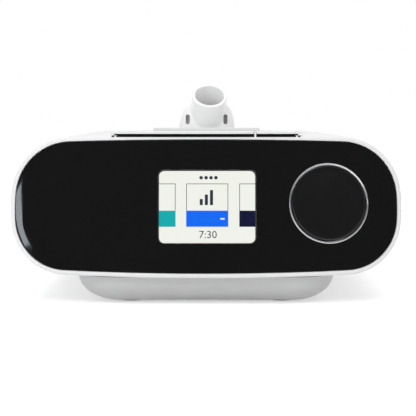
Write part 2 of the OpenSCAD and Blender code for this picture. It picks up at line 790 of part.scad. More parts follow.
intake_half_l = filter_l / 2 + filter_gap + intake_wall;
intake_half_h = filter_h / 2 + filter_gap + intake_wall;
intake_x0 = half_w - 42;
intake_x1 = half_w - 6.5;
neck_x0 = intake_x0;
neck_x1 = neck_x0 + 16;
neck_half_l = 10;
chassis_half_w = half_w - 26.5;
chassis_y0 = bezel_back + 12;
main_board_x0 = -half_w + 12.5;
main_board_x1 = intake_x0 - 4.5;
main_board_y0 = chassis_y0 + 12;
main_board_y1 = unit_back - 20;
board_post_x = [main_board_x0 + 18, main_board_x1 - 6];
board_post_y = [main_board_y0 + 5.5, main_board_y1 - 2];

vent_r = 2.6;
vent_spread = 15;
impeller_disc_t = 1.6;
impeller_hub_r = 6;
blade_t = 1.2;
blade_turn = 35;
blade_l = impeller_r * 0.76;
magnet_r = 10.5;
stator_bore_r = 11.1;
stator_slot_w = 2.8;
speaker_r = 13;
speaker_cone_r = 9;
sensor_half_w = 8;
sensor_y0 = unit_back - 22;
sensor_y1 = unit_back - 8;
sensor_taps = [unit_back - 18, unit_back - 12];

module at_blower(z) translate([blower_x, blower_y, z]) children();
module blower_ears(z) for (a = ear_angles) at_blower(z) rotate([0, 0, a]) translate([ear_spread, 0, 0]) children();

module blower_ear() {
    cylinder(r = ear_r, h = volute_wall);
    translate([-ear_r - volute_wall / 2, -ear_web_w / 2, 0]) cube([ear_r + volute_wall / 2, ear_web_w, volute_wall]);
}

module chassis() color([0.35, 0.36, 0.38]) difference() {
    union() {
        block([-chassis_half_w, chassis_y0, chassis_z], [chassis_half_w, rear_y - 1, chassis_top]);
        for (x = board_post_x) for (y = board_post_y) post(x, y, chassis_top - 0.5, board_z, board_post_r + 0.8);
    }
    at_blower(chassis_z - 1) cylinder(r = inlet_r + 4, h = chassis_t + 2);
    blower_ears(chassis_z - 1) cylinder(r = stem_r + 0.1, h = chassis_t + 2);
    block([neck_x0 + intake_wall, intake_y - neck_half_l + intake_wall, chassis_z - 1],
        [neck_x1 - intake_wall, intake_y + neck_half_l - intake_wall, chassis_top + 1]);
}

module volute_half(z0, z1) intersection() {
    difference() {
        union() {
            at_blower(volute_low) cylinder(r = volute_r, h = volute_top - volute_low);
            rod_y(air_x, air_z, blower_y, spigot_end, spigot_r);
        }
        at_blower(volute_low + volute_wall) cylinder(r = volute_r - volute_wall, h = 2 * air_r);
        rod_y(air_x, air_z, blower_y, spigot_end + 1, air_r);
    }
    block([-far * 2, front_y, z0], [far * 2, back_y, z1]);
}

module volute_lower() color([0.82, 0.82, 0.8]) difference() {
    union() {
        volute_half(volute_low - 1, air_z);
        difference() {
            blower_ears(volute_low) blower_ear();
            at_blower(volute_low - 1) cylinder(r = volute_r - volute_wall / 2, h = volute_wall + 2);
        }
        blower_ears(volute_low) translate([-ear_r - rib_t / 2, -rib_w / 2, 0])
            cube([rib_t, rib_w, air_z - volute_low - rib_below]);
    }
    at_blower(volute_low - 1) cylinder(r = inlet_r, h = volute_wall + 2);
    at_blower(volute_low + volute_wall) cylinder(r = volute_r - volute_wall, h = 2 * air_r);
    rod_y(air_x, air_z, blower_y, spigot_end + 1, air_r);
    blower_ears(volute_low - 1) cylinder(r = stem_r + 0.1, h = volute_wall + 2);
}

module volute_upper() color([0.82, 0.82, 0.8]) difference() {
    union() {
        volute_half(air_z, volute_top + 1);
        at_blower(volute_top - volute_wall) difference() {
            cylinder(r = motor_r, h = motor_top - volute_top + volute_wall);
            translate([0, 0, volute_wall]) cylinder(r = motor_r - motor_wall, h = far);
        }
        at_blower(volute_top - 1) cylinder(r = bearing_r + 2, h = bearing_h);
    }
    at_blower(volute_low) cylinder(r = motor_shaft_r + 0.4, h = far);
    at_blower(volute_top - 1) cylinder(r = bearing_r + 0.02, h = bearing_h + 1);
}

module motor_cover() color([0.35, 0.36, 0.38]) at_blower(motor_top) difference() {
    union() {
        cylinder(r = motor_r, h = cover_t);
        cylinder(r = bearing_r + 2, h = bearing_h);
    }
    translate([0, 0, -1]) cylinder(r = bearing_r - 1, h = far);
    translate([0, 0, 0.6]) cylinder(r = bearing_r + 0.02, h = far);
    for (a = [0:60:300]) rotate([0, 0, a]) translate([vent_spread, 0, -1]) cylinder(r = vent_r, h = far);
}

module impeller() color([0.9, 0.9, 0.88]) at_blower(impeller_low) difference() {
    union() {
        translate([0, 0, impeller_top - impeller_low - impeller_disc_t])
            cylinder(r = impeller_r, h = impeller_disc_t);
        cylinder(r = impeller_hub_r, h = impeller_top - impeller_low);
        for (i = [0:blades - 1]) rotate([0, 0, 360 * i / blades]) translate([impeller_r / 2 + 1.5, 0, 0])
            rotate([0, 0, blade_turn]) translate([-blade_l / 2, -blade_t / 2, 0])
                cube([blade_l, blade_t, impeller_top - impeller_low - 0.8]);
    }
    translate([0, 0, -1]) cylinder(r = motor_shaft_r + 0.01, h = far);
    translate([0, 0, -1]) difference() {
        cylinder(r = impeller_r + 9, h = far);
        translate([0, 0, -1]) cylinder(r = impeller_r, h = far + 2);
    }
}

module motor_shaft() color([0.7, 0.7, 0.72])
    at_blower(impeller_low) cylinder(r = motor_shaft_r, h = motor_top + 0.6 + bearing_h - 0.4 - impeller_low);

module motor_magnet() color([0.3, 0.3, 0.33]) at_blower(magnet_z) difference() {
    cylinder(r = magnet_r, h = magnet_h);
    translate([0, 0, -1]) cylinder(r = motor_shaft_r + 0.01, h = far);
}

module motor_stator() color([0.55, 0.4, 0.25]) at_blower(magnet_z) difference() {
    cylinder(r = motor_r - motor_wall - 0.02, h = magnet_h);
    translate([0, 0, -1]) cylinder(r = stator_bore_r, h = far);
    for (a = [0:40:320]) rotate([0, 0, a]) translate([stator_bore_r - 1.1, -stator_slot_w / 2, -1])
        cube([motor_r - motor_wall - 12.5, stator_slot_w, far]);
}

bearing_z = [volute_top - 1, motor_top + 0.6];

module motor_bearings() color([0.7, 0.7, 0.72]) for (z = bearing_z) at_blower(z) difference() {
    cylinder(r = bearing_r, h = bearing_h);
    translate([0, 0, -1]) cylinder(r = motor_shaft_r + 0.04, h = far);
}

module blower_mounts() color([0.2, 0.2, 0.21]) blower_ears(0) rotate_extrude() polygon([
    [0, chassis_z - stem_head_t], [stem_head_r, chassis_z - stem_head_t], [stem_head_r, chassis_z],
    [stem_r, chassis_z], [stem_r, chassis_top], [ear_r - 0.5, chassis_top], [ear_r - 0.5, volute_low],
    [stem_r, volute_low], [stem_r, volute_low + volute_wall], [stem_head_r, volute_low + volute_wall],
    [stem_r * 0.6, volute_low + volute_wall + stem_head_t], [0, volute_low + volute_wall + stem_head_t]]);

module outlet_duct() color([0.55, 0.56, 0.58]) difference() {
    rod_y(air_x, air_z, sleeve_start, unit_back, duct_r);
    rod_y(air_x, air_z, sleeve_start - 1, spigot_end + 0.3, spigot_r + 0.05);
    rod_y(air_x, air_z, spigot_end - 1, unit_back + 1, air_r);
}

module flow_sensor() color([0.2, 0.22, 0.24]) difference() {
    block([air_x - sensor_half_w, sensor_y0, air_z + 6], [air_x + sensor_half_w, sensor_y1, air_z + duct_r + 6]);
    rod_y(air_x, air_z, sensor_y0 - 1, sensor_y1 + 1, duct_r + 0.05);
    for (y = sensor_taps) post(air_x, y, air_z, air_z + duct_r + 4, 1);
}

speaker_x = 14 - chassis_half_w;
speaker_y = blower_y - 4;

module alarm_speaker() color([0.25, 0.25, 0.27]) translate([speaker_x, speaker_y, chassis_top]) difference() {
    union() {
        cylinder(r = speaker_r, h = 3.5);
        cylinder(r = speaker_cone_r, h = 6);
    }
    translate([0, 0, 4.4]) cylinder(r = speaker_cone_r - 2.5, h = 5);
}

dock_wall = 1.2;
dock_lip = 2;
plug_in = 1.5;

module dock_socket() color([0.15, 0.15, 0.16]) difference() {
    union() {
        block([socket_x - socket_w / 2, rear_y - 6, socket_z - socket_h / 2],
            [socket_x + socket_w / 2, unit_back, socket_z + socket_h / 2]);
        block([socket_x - socket_w / 2 - dock_lip, rear_y - 1.6, socket_z - socket_h / 2 - dock_lip],
            [socket_x + socket_w / 2 + dock_lip, rear_y, socket_z + socket_h / 2 + dock_lip]);
    }
    block([socket_x - socket_w / 2 + dock_wall, rear_y - 4, socket_z - socket_h / 2 + dock_wall],
        [socket_x + socket_w / 2 - dock_wall, unit_back + 1, socket_z + socket_h / 2 - dock_wall]);
}

module dock_plug() color([0.15, 0.15, 0.16]) {
    block([socket_x - socket_w / 2 + plug_in, rear_y - 2, socket_z - socket_h / 2 + plug_in],
        [socket_x + socket_w / 2 - plug_in, humid_front + wall, socket_z + socket_h / 2 - plug_in]);
    block([socket_x - socket_w / 2 - dock_lip, humid_front + wall, socket_z - socket_h / 2 - dock_lip],
        [socket_x + socket_w / 2 + dock_lip, humid_front + wall + 4, socket_z + socket_h / 2 + dock_lip]);
}

// Filters in the right-hand side
module intake_box() color([0.82, 0.82, 0.8]) difference() {
    union() {
        block([intake_x0, intake_y - intake_half_l, intake_z - intake_half_h],
            [intake_x1, intake_y + intake_half_l, intake_z + intake_half_h]);
        block([neck_x0, intake_y - neck_half_l, chassis_top],
            [neck_x1, intake_y + neck_half_l, intake_z]);
    }
    block([intake_x0 + intake_wall, intake_y - filter_l / 2 + 1, intake_z - filter_h / 2 + 1],
        [intake_x1 + 1, intake_y + filter_l / 2 - 1, intake_z + filter_h / 2 - 1]);
    block([filter_x0 - filter_gap, intake_y - filter_l / 2 - filter_gap, intake_z - filter_h / 2 - filter_gap],
        [intake_x1 + 1, intake_y + filter_l / 2 + filter_gap, intake_z + filter_h / 2 + filter_gap]);
    block([neck_x0 + intake_wall, intake_y - neck_half_l + intake_wall, chassis_top - 1],
        [neck_x1 - intake_wall, intake_y + neck_half_l - intake_wall, intake_z]);
}

fine_t = 3;
pollen_t = 6;
filter_x0 = intake_x1 - fine_t - pollen_t - 1.5;
foam_in = 1.3;

module filter_pad(x0, x1) block([x0, intake_y - filter_l / 2, intake_z - filter_h / 2],
    [x1, intake_y + filter_l / 2, intake_z + filter_h / 2]);

module fine_filter() color([0.95, 0.95, 0.93]) filter_pad(filter_x0, filter_x0 + fine_t);
module pollen_filter() color([0.35, 0.37, 0.4])
    filter_pad(filter_x0 + fine_t + filter_gap, filter_x0 + fine_t + pollen_t);
module muffler_foam() color([0.3, 0.3, 0.32])
    block([neck_x1 + filter_gap, intake_y - filter_l / 2 + foam_in, intake_z - filter_h / 2 + foam_in],
        [filter_x0 - 0.6, intake_y + filter_l / 2 - foam_in, intake_z + filter_h / 2 - foam_in]);

// The memory card and its socket under the main board, in the left-hand side
card_gap = 0.3;
card_corner = 4;
socket_side = 1.6;
card_outer_x = half_w - 5;
card_mid_y = (card_y0 + card_y1) / 2;
card_z1 = board_z - 0.9;
card_z0 = card_z1 - card_t;
socket_end_x = card_outer_x - card_l - card_travel - 0.5;

module sd_card() color([0.15, 0.15, 0.18]) mirror([1, 0, 0]) along_z(card_z0, card_z1) polygon([
    [card_outer_x, card_mid_y - card_w / 2], [card_outer_x, card_mid_y + card_w / 2],
    [card_outer_x - card_l, card_mid_y + card_w / 2], [card_outer_x - card_l, card_mid_y - card_w / 2 + card_corner],
    [card_outer_x - card_l + card_corner, card_mid_y - card_w / 2]]);

module sd_socket() color([0.7, 0.7, 0.72]) mirror([1, 0, 0]) difference() {
    block([socket_end_x - 1.2, card_mid_y - card_w / 2 - socket_side, card_z0 - 1.4],
        [half_w - 8.5, card_mid_y + card_w / 2 + socket_side, board_z]);
    block([socket_end_x, card_mid_y - card_w / 2 - card_gap, card_z0 - card_gap],
        [half_w, card_mid_y + card_w / 2 + card_gap, card_z1 + card_gap]);
}

// Chips, coils and plugs on the main board: place on it and size
components = [[54, 20, 16, 16, 1.6], [90, 30, 12, 12, 1.4], [114, 52, 9, 22, 7], [22, 60, 12, 8, 4],
    [24, 18, 20, 10, 5], [112, 12, 12, 12, 9], [76, 66, 24, 8, 6]];

module main_board() color([0.1, 0.35, 0.2]) {
    block([main_board_x0, main_board_y0, board_z], [main_board_x1, main_board_y1, board_z + board_t]);
    for (p = components) translate([main_board_x0 + p.x, main_board_y0 + p.y, board_z + board_t])
        cube([p[2], p[3], p[4]]);
}

// The humidifier
module humid_shape(inset, y0) intersection() {
    along_y(y0, body_back - inset) case_section(inset);
    along_z(0, case_top + 5) polygon(concat([[-half_w + inset, y0], [half_w - inset, y0]],
        arc([half_w - rear_r, body_back - rear_r], rear_r - inset, 0, 90, 12, 0),
        arc([-half_w + rear_r, body_back - rear_r], rear_r - inset, 90, 180, 12, 0)));
    along_x(-far * 2, far * 2) polygon(concat([[y0, case_top + 0.3 - inset], [y0, case_low - 0.3 + inset]],
        arc([body_back - edge_r, case_low - 0.3 + edge_r], edge_r - inset, -90, 0, 8, 0),
        arc([body_back - edge_r, case_top + 0.3 - edge_r], edge_r - inset, 0, 90, 8, 0)));
}
module between(z0, z1) block([-far * 2, front_y - far, z0], [far * 2, back_y + far, z1]);

tank_gap = 2.5;
tank_y0 = humid_front + 19;
tank_y1 = body_back - 16;
heater_y = humid_front + heater_in;
tank_low = case_low + wall + tank_gap - 0.4;
tank_boss_t = 3;
tank_boss_out = 6;
plate_z1 = tank_low - 0.7;
plate_t = 2;
flange_r = heater_r + 3;
flange_t = 1.6;
flange_z = case_low - 0.3 - heater_rise - flange_t;
rest_r = heater_r + 3.5;
hinge_ear_x = 52;
hinge_ear_l = 10;
lid_ear_l = 12;
lid_hinge_z = lid_split + move_gap / 2;
release_y = humid_front + 9.5;
release_half_l = 6;
flange_out = 2;
release_under = 2.2;
hook_l = 3;
jack_x = 55;
jack_z = 33;
jack_r = 6;
humid_board_z = foot_low + wall + 3;
jack_half = 7;
jack_deep = 11;
jack_bore_r = 3.2;
jack_pin_r = 1.1;
spring_out_r = 3;
spring_in_r = 2.2;
spring_ring_r = heater_r - 0.5;
rest_post_r = 2.2;
board_rest_r = 2.4;
board_rest_x = [-30, 42];
board_rest_y = [humid_front + 9, humid_front + 24];
seal_r = air_r + 2.6;
keeper_z = lid_split - 2.6;
keeper_l = 2.2;
latch_arm_w = 14;
latch_arm_t = 2;
keeper_margin = 1;
port_y = humid_front + port_in;
seal_h = 3.3;
seal_out_r = port_r + 4.5;
lid_ceiling = case_top - wall;
tank_seat_z = tank_low - move_gap;

module lid_barrel(x, length, r) both_sides() rod_x(body_back, lid_hinge_z, x, x + length, r);

module humidifier_base() color([0.8, 0.8, 0.8]) {
    difference() {
        union() {
            difference() {
                union() {
                    intersection() {
                        humid_shape(0, humid_front);
                        between(0, lid_split);
                    }
                    foot_solid(0, humid_front, body_back - foot_rear_setback, false, true);
                }
                intersection() {
                    humid_shape(wall, humid_front + wall);
                    between(case_low, far * 2);
                }
                intersection() {
                    foot_solid(wall, humid_front + wall, body_back - foot_rear_setback, false, true);
                    between(0, case_low);
                }
            }
            for (x = board_rest_x) for (y = board_rest_y)
                post(x, y, foot_low + wall - 0.5, humid_board_z, board_rest_r);
            for (a = [45:90:315]) translate([rest_r * cos(a), heater_y + rest_r * sin(a), case_low + 0.5])
                cylinder(r = rest_post_r, h = tank_seat_z - case_low - 0.5);
            block([-latch_arm_w / 2 - keeper_margin, humid_front + wall - 0.5, keeper_z],
                [latch_arm_w / 2 + keeper_margin, humid_front + wall + keeper_l, lid_split]);
            lid_barrel(hinge_ear_x, hinge_ear_l, lid_knuckle_r);
        }
        post(0, heater_y, case_low - 1, case_low + wall + 1.2, heater_r + 0.6);
        rod_y(air_x, air_z, humid_front - 1, humid_front + wall + 1, seal_r + 0.1);
        block([socket_x - socket_w / 2 + 1.4, humid_front - 1, socket_z - socket_h / 2 + 1.4],
            [socket_x + socket_w / 2 - 1.4, humid_front + wall + 1, socket_z + socket_h / 2 - 1.4]);
        arm_slot(humid_front - 1, humid_front + wall + 1);
        block([half_w - 8, release_y - release_half_l - move_gap, release_z - release_h / 2 - move_gap],
            [half_w + 5, release_y + release_half_l + move_gap, release_z + release_h / 2 + move_gap]);
        rod_y(jack_x, jack_z, body_back - wall - 1, body_back + 1, jack_r + 0.1);
        lid_barrel(hinge_ear_x - lid_ear_l - 0.6, lid_ear_l + 0.6, lid_knuckle_r + move_gap);
        lid_barrel(hinge_ear_x - 1, hinge_ear_l + 0.5, lid_pin_r + 0.02);
        pads(pad_top, pad_r + 0.1);
    }
}

latch_x = latch_w / 2;
latch_y0 = humid_front + 0.6;
latch_y1 = latch_y0 + latch_l;
latch_top = case_top + 1.6;
latch_floor = case_top - 1.2;
latch_beak_h = 2.6;
arm_y0 = humid_front + wall + keeper_l + 0.5;

module humidifier_lid() color([0.93, 0.93, 0.93]) difference() {
    union() {
        difference() {
            intersection() {
                humid_shape(0, humid_front + 0.3);
                between(lid_split + move_gap, case_top + 1);
            }
            intersection() {
                humid_shape(wall, humid_front + 0.3 + wall);
                between(0, case_top + 1);
            }
        }
        lid_barrel(hinge_ear_x - lid_ear_l - 0.3, lid_ear_l, lid_knuckle_r);
    }
    lid_barrel(hinge_ear_x - 0.3, hinge_ear_l + 0.6, lid_knuckle_r + move_gap);
    lid_barrel(hinge_ear_x - lid_ear_l + 1, lid_ear_l, lid_pin_r + 0.06);
    block([-latch_x - move_gap, humid_front - 1, latch_floor],
        [latch_x + move_gap, latch_y1 + latch_travel + move_gap, case_top + 5]);
    block([-latch_arm_w / 2 - move_gap, arm_y0 - move_gap, lid_ceiling - 1],
        [latch_arm_w / 2 + move_gap, arm_y0 + latch_arm_t + latch_travel + move_gap, case_top]);
    post(0, port_y, lid_ceiling - 1, case_top + 1, port_bore_r + neck_wall + 0.1);
}

module lid_pins() color([0.7, 0.7, 0.72])
    lid_barrel(hinge_ear_x - lid_ear_l + 1.5, lid_ear_l + hinge_ear_l - 3, lid_pin_r);

module lid_latch() color([0.86, 0.86, 0.87]) {
    block([-latch_x, latch_y0, latch_floor + move_gap], [latch_x, latch_y1, latch_top]);
    block([-latch_arm_w / 2, arm_y0, keeper_z - latch_beak_h],
        [latch_arm_w / 2, arm_y0 + latch_arm_t, latch_floor + 0.5]);
}

module lid_seal() color([0.3, 0.3, 0.32]) translate([0, port_y, lid_ceiling - seal_h]) difference() {
    cylinder(r = seal_out_r, h = seal_h - 0.1);
    translate([0, 0, -1]) cylinder(r = port_bore_r + neck_wall + 0.2, h = seal_h + 2);
}

// The slanted hose port on the lid
module on_port() translate([0, port_y, case_top]) rotate([0, 0, port_turn]) rotate([port_lean, 0, 0]) children();
neck_deep = 2;
neck_up = 3;
neck_wall = 2.6;
foot_rim_t = 0.6;
shoulder = 0.6;
shoulder_t = 0.5;

module outlet_port() color([0.9, 0.9, 0.9]) difference() {
    union() {
        intersection() {
            on_port() cylinder(r = port_r, h = port_len);
            between(case_top + 0.1, case_top + far);
        }
        hull() {
            post(0, port_y, case_top, case_top + foot_rim_t, saddle_half_w, $fn = 48);
            on_port() translate([0, 0, saddle_len]) cylinder(r = port_r + shoulder, h = shoulder_t, $fn = 48);
        }
        post(0, port_y, lid_ceiling - neck_deep, case_top + 1, port_bore_r + neck_wall);
    }
    intersection() {
        on_port() cylinder(r = port_bore_r, h = port_len + 5);
        between(case_top + foot_rim_t, case_top + far);
    }
    post(0, port_y, lid_ceiling - neck_deep - 1, case_top + neck_up, port_bore_r - 0.15);
}

// The dry box that keeps water out of the blower
box_half_w = 18;
box_x0 = air_x - box_half_w;
box_x1 = air_x + box_half_w;
box_y0 = humid_front + wall + 0.6;
box_y1 = tank_y0 - 0.9;
box_z0 = case_low + wall + 0.6;
box_z1 = lid_split - 1;
box_wall = 1.6;
inlet_z = tank_split + 9;
inlet_hole_r = 6.5;

module dry_box() color([0.85, 0.85, 0.84]) difference() {
    block([box_x0, box_y0, box_z0], [box_x1, box_y1, box_z1]);
    block([box_x0 + box_wall, box_y0 + box_wall, box_z0 + box_wall],
        [box_x1 - box_wall, box_y1 - box_wall, box_z1 - box_wall]);
    rod_y(air_x, air_z, box_y0 - 1, box_y0 + box_wall + 0.5, air_r);
    rod_y(air_x, inlet_z, box_y1 - box_wall - 0.5, box_y1 + 1, inlet_hole_r);
}

module outlet_seal() color([0.3, 0.3, 0.32]) difference() {
    rod_y(air_x, air_z, unit_back + 0.1, box_y0, seal_r);
    rod_y(air_x, air_z, unit_back - 1, box_y0 + 1, air_r);
}

module tank_body(inset) intersection() {
    humid_shape(wall + tank_gap + inset, tank_y0 + inset);
    block([-far * 2, tank_y0 + inset, 0], [far * 2, tank_y1 - inset, case_top]);
}

module tank_base() color([0.72, 0.8, 0.86, 0.5]) difference() {
    union() {
        difference() {
            intersection() {
                tank_body(0);
                between(0, tank_split);
            }
            tank_body(tank_wall);
        }
        post(0, heater_y, tank_low, tank_low + tank_boss_t, heater_r + tank_boss_out);
    }
    post(0, heater_y, tank_low - 1, tank_low + tank_boss_t + 1, heater_r + 0.1);
}

module tank_lid() color([0.72, 0.8, 0.86, 0.5]) difference() {
    union() {
        intersection() {
            difference() {
                tank_body(0);
                intersection() {
                    tank_body(tank_wall);
                    between(0, tank_top - tank_wall);
                }
            }
            between(tank_split + 0.1, tank_top);
        }
        post(0, port_y, tank_top - tank_wall, lid_ceiling - seal_h - move_gap, seal_out_r - 1);
    }
    post(0, port_y, tank_top - tank_wall - 1, case_top, port_bore_r);
    rod_y(air_x, inlet_z, tank_y0 - 1, tank_y0 + tank_wall + 1, inlet_hole_r);
}

module tank_plate() color([0.7, 0.7, 0.72]) {
    post(0, heater_y, tank_low - 0.4, tank_low + tank_boss_t, heater_r);
    post(0, heater_y, tank_low + tank_boss_t, tank_low + tank_boss_t + 1.2, heater_r + 2.5);
}

module heater_plate() color([0.6, 0.6, 0.62]) difference() {
    union() {
        post(0, heater_y, flange_z + flange_t - 0.1, plate_z1, heater_r);
        post(0, heater_y, flange_z, flange_z + flange_t, flange_r);
    }
    post(0, heater_y, flange_z - 1, plate_z1 - plate_t, heater_r - 4);
}

module heater_springs() color([0.7, 0.7, 0.72]) for (a = [30:120:270])
    translate([spring_ring_r * cos(a), heater_y + spring_ring_r * sin(a), foot_low + wall]) difference() {
        cylinder(r = spring_out_r, h = flange_z - foot_low - wall);
        translate([0, 0, -1]) cylinder(r = spring_in_r, h = far);
    }

// Chips on the humidifier's board: place and size
humid_parts = [[-10, 8, 16, 14, 2], [22, 8, 18, 10, 3]];
humid_board_x0 = -38;
humid_board_x1 = 50;

module humidifier_board() color([0.1, 0.35, 0.2]) {
    block([humid_board_x0, humid_front + 5, humid_board_z],
        [humid_board_x1, humid_front + 28, humid_board_z + board_t]);
    for (p = humid_parts) translate([p.x, humid_front + p.y, humid_board_z + board_t]) cube([p[2], p[3], p[4]]);
}

module dock_release() color([0.86, 0.86, 0.87]) {
    intersection() {
        along_y(release_y - release_half_l, release_y + release_half_l) case_section(0.2);
        block([arm_x1, humid_front, release_z - release_h / 2], [half_w + 5, back_y, release_z + release_h / 2]);
    }
    block([arm_x0, rear_y - hook_l - 0.4, release_z - release_h / 2],
        [arm_x1 + 0.1, release_y + release_half_l, release_z + release_h / 2]);
    block([arm_x1, rear_y - hook_l - 0.4, release_z - release_h / 2],
        [hook_x1, rear_y - 0.4, release_z + release_h / 2]);
    block([arm_x1, humid_front + wall + move_gap, release_z - release_h / 2 - flange_out],
        [half_w - wall - release_under, release_y + release_half_l + flange_out,
        release_z + release_h / 2 + flange_out]);
}

module power_inlet() color([0.12, 0.12, 0.13]) difference() {
    union() {
        block([jack_x - jack_half, body_back - wall - jack_deep, jack_z - jack_half],
            [jack_x + jack_half, body_back - wall, jack_z + jack_half]);
        rod_y(jack_x, jack_z, body_back - wall - 0.5, body_back + 0.2, jack_r);
    }
    difference() {
        rod_y(jack_x, jack_z, body_back - wall - 8, body_back + 1, jack_bore_r);
        rod_y(jack_x, jack_z, body_back - wall - 9, body_back - 1, jack_pin_r);
    }
}

front_fascia();
front_bezel();
screen_window();
display_module();
display_board();
dial_ring();
control_dial();
dial_shaft();
encoder_rotor();
encoder_body();
top_housing();
bottom_housing();
chassis();
therapy_button();
ramp_button();
button_mat();
button_board();
button_switches();
volute_lower();
volute_upper();
motor_cover();
impeller();
motor_shaft();
motor_magnet();
motor_stator();
motor_bearings();
blower_mounts();
intake_box();
muffler_foam();
fine_filter();
pollen_filter();
filter_door();
sd_door();
door_pins();
sd_card();
sd_socket();
main_board();
flow_sensor();
alarm_speaker();
outlet_duct();
outlet_seal();
dock_socket();
dock_plug();
dock_release();
humidifier_base();
humidifier_lid();
lid_pins();
lid_latch();
lid_seal();
outlet_port();
dry_box();
tank_base();
tank_lid();
tank_plate();
heater_plate();
heater_springs();
humidifier_board();
power_inlet();
rubber_feet();
screws();
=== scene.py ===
import json
import math

import bmesh
import bpy
from mathutils import Matrix, Vector
from mathutils.bvhtree import BVHTree


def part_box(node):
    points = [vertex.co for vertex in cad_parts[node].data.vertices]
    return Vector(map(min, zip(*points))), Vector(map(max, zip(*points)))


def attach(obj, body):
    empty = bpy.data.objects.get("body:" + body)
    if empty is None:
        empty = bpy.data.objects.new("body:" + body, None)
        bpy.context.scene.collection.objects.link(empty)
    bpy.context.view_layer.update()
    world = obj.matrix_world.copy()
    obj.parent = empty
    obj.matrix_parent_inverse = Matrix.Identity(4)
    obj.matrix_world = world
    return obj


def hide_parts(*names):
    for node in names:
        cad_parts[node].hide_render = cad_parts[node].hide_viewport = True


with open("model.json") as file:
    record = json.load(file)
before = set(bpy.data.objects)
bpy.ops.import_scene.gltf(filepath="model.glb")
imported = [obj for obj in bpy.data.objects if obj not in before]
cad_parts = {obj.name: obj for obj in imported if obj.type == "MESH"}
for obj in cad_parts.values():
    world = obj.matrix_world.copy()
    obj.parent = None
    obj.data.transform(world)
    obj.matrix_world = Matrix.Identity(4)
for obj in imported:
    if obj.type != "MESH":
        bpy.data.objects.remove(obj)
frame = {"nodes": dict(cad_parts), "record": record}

bl_info = {
    "name": "Breathing machine",
    "version": (1, 0, 0),
    "blender": (4, 5, 0),
    "location": "View3D > Sidebar > Breathing machine",
    "description": "Bilevel pressure machine with its humidifier, dressed over its exact parts",
    "category": "Add Mesh",
}

MM = 0.001
# The axis about which arcs are drawn in the front view
FRONT_AXIS = Vector((0, 1, 0))
BOXES = {}


def box_of(cad):
    """Lowest and highest corner of an exact part, measured once."""
    if cad not in BOXES:
        BOXES[cad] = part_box(cad)
    return BOXES[cad]


# Sizes


class CaseSizes(bpy.types.PropertyGroup):
    """The outline that the whole machine shares, seen from the front"""

    half_width: bpy.props.FloatProperty(
        name="Half width", description="From the middle to either side", unit="LENGTH",
        default=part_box("humidifier_base")[1].x)
    top: bpy.props.FloatProperty(
        name="Top", description="Height of the flat top above the table", unit="LENGTH",
        default=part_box("humidifier_lid")[1].z)
    low: bpy.props.FloatProperty(
        name="Underside", description="Height of the case's underside above the table", unit="LENGTH",
        default=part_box("front_bezel")[0].z)
    upper_corner: bpy.props.FloatProperty(
        name="Upper corner", description="Radius of the two upper corners", unit="LENGTH", default=30 * MM)
    lower_corner: bpy.props.FloatProperty(
        name="Lower corner", description="Radius of the two lower corners", unit="LENGTH", default=27.5 * MM)
    crown: bpy.props.FloatProperty(
        name="Crown", description="Radius of the slight crown of the top and the underside", unit="LENGTH",
        default=2200 * MM)
    end: bpy.props.FloatProperty(
        name="End", description="Radius of the nearly flat middle of the two ends", unit="LENGTH",
        default=100 * MM)
    end_drop: bpy.props.FloatProperty(
        name="End drop", description="How far the widest point lies below mid height", unit="LENGTH",
        default=1.5 * MM)
    seam: bpy.props.FloatProperty(
        name="Seam", description="Softness of the edges where two shells meet", unit="LENGTH",
        default=0.35 * MM)


class FrontSizes(bpy.types.PropertyGroup):
    """The leaning, gently curved front"""

    lean: bpy.props.FloatProperty(
        name="Lean", description="Backward lean of the front", subtype="ANGLE", default=math.radians(8))
    curve: bpy.props.FloatProperty(
        name="Curve", description="Radius of the front, seen from above", unit="LENGTH", default=420 * MM)
    rim: bpy.props.FloatProperty(
        name="Rim", description="Width of the white rim round the fascia", unit="LENGTH", default=2.4 * MM)
    ledge: bpy.props.FloatProperty(
        name="Ledge", description="Width of the ledge behind the fascia", unit="LENGTH", default=3 * MM)
    recess: bpy.props.FloatProperty(
        name="Recess", description="How far the fascia lies below the rim", unit="LENGTH", default=0.2 * MM)
    fascia: bpy.props.FloatProperty(
        name="Fascia", description="Thickness of the glossy fascia", unit="LENGTH", default=2.4 * MM)
    roll: bpy.props.FloatProperty(
        name="Rolled edge", description="How far the fascia's margin curves back", unit="LENGTH",
        default=0.45 * MM)
    roll_width: bpy.props.FloatProperty(
        name="Rolled edge width", description="Width of the fascia's curved margin", unit="LENGTH",
        default=7 * MM)
    screen_width: bpy.props.FloatProperty(
        name="Screen width", description="Width of the visible screen", unit="LENGTH", default=47.8 * MM)
    screen_height: bpy.props.FloatProperty(
        name="Screen height", description="Height of the visible screen", unit="LENGTH", default=36 * MM)
    screen_corner: bpy.props.FloatProperty(
        name="Screen corner", description="Corner radius of the screen window", unit="LENGTH",
        default=3 * MM)
    screen_x: bpy.props.FloatProperty(
        name="Screen place", description="Sideways place of the screen's middle", unit="LENGTH",
        default=0.5 * MM)


class DialSizes(bpy.types.PropertyGroup):
    """The control dial and the bright ring round it"""

    dial: bpy.props.FloatProperty(
        name="Dial", description="Diameter of the dial", unit="LENGTH", default=36.7 * MM)
    ring: bpy.props.FloatProperty(
        name="Ring", description="Diameter of the bright ring", unit="LENGTH", default=39.4 * MM)
    along: bpy.props.FloatProperty(
        name="Place", description="Sideways place of the dial, along the front", unit="LENGTH",
        default=60 * MM)
    up: bpy.props.FloatProperty(
        name="Height", description="Height of the dial above mid height, along the front", unit="LENGTH",
        default=1.9 * MM)
    proud: bpy.props.FloatProperty(
        name="Proud", description="How far the dial stands out of the fascia", unit="LENGTH",
        default=0.6 * MM)
    dish: bpy.props.FloatProperty(
        name="Dish", description="Depth of the shallow dish in the dial's face", unit="LENGTH",
        default=0.5 * MM)


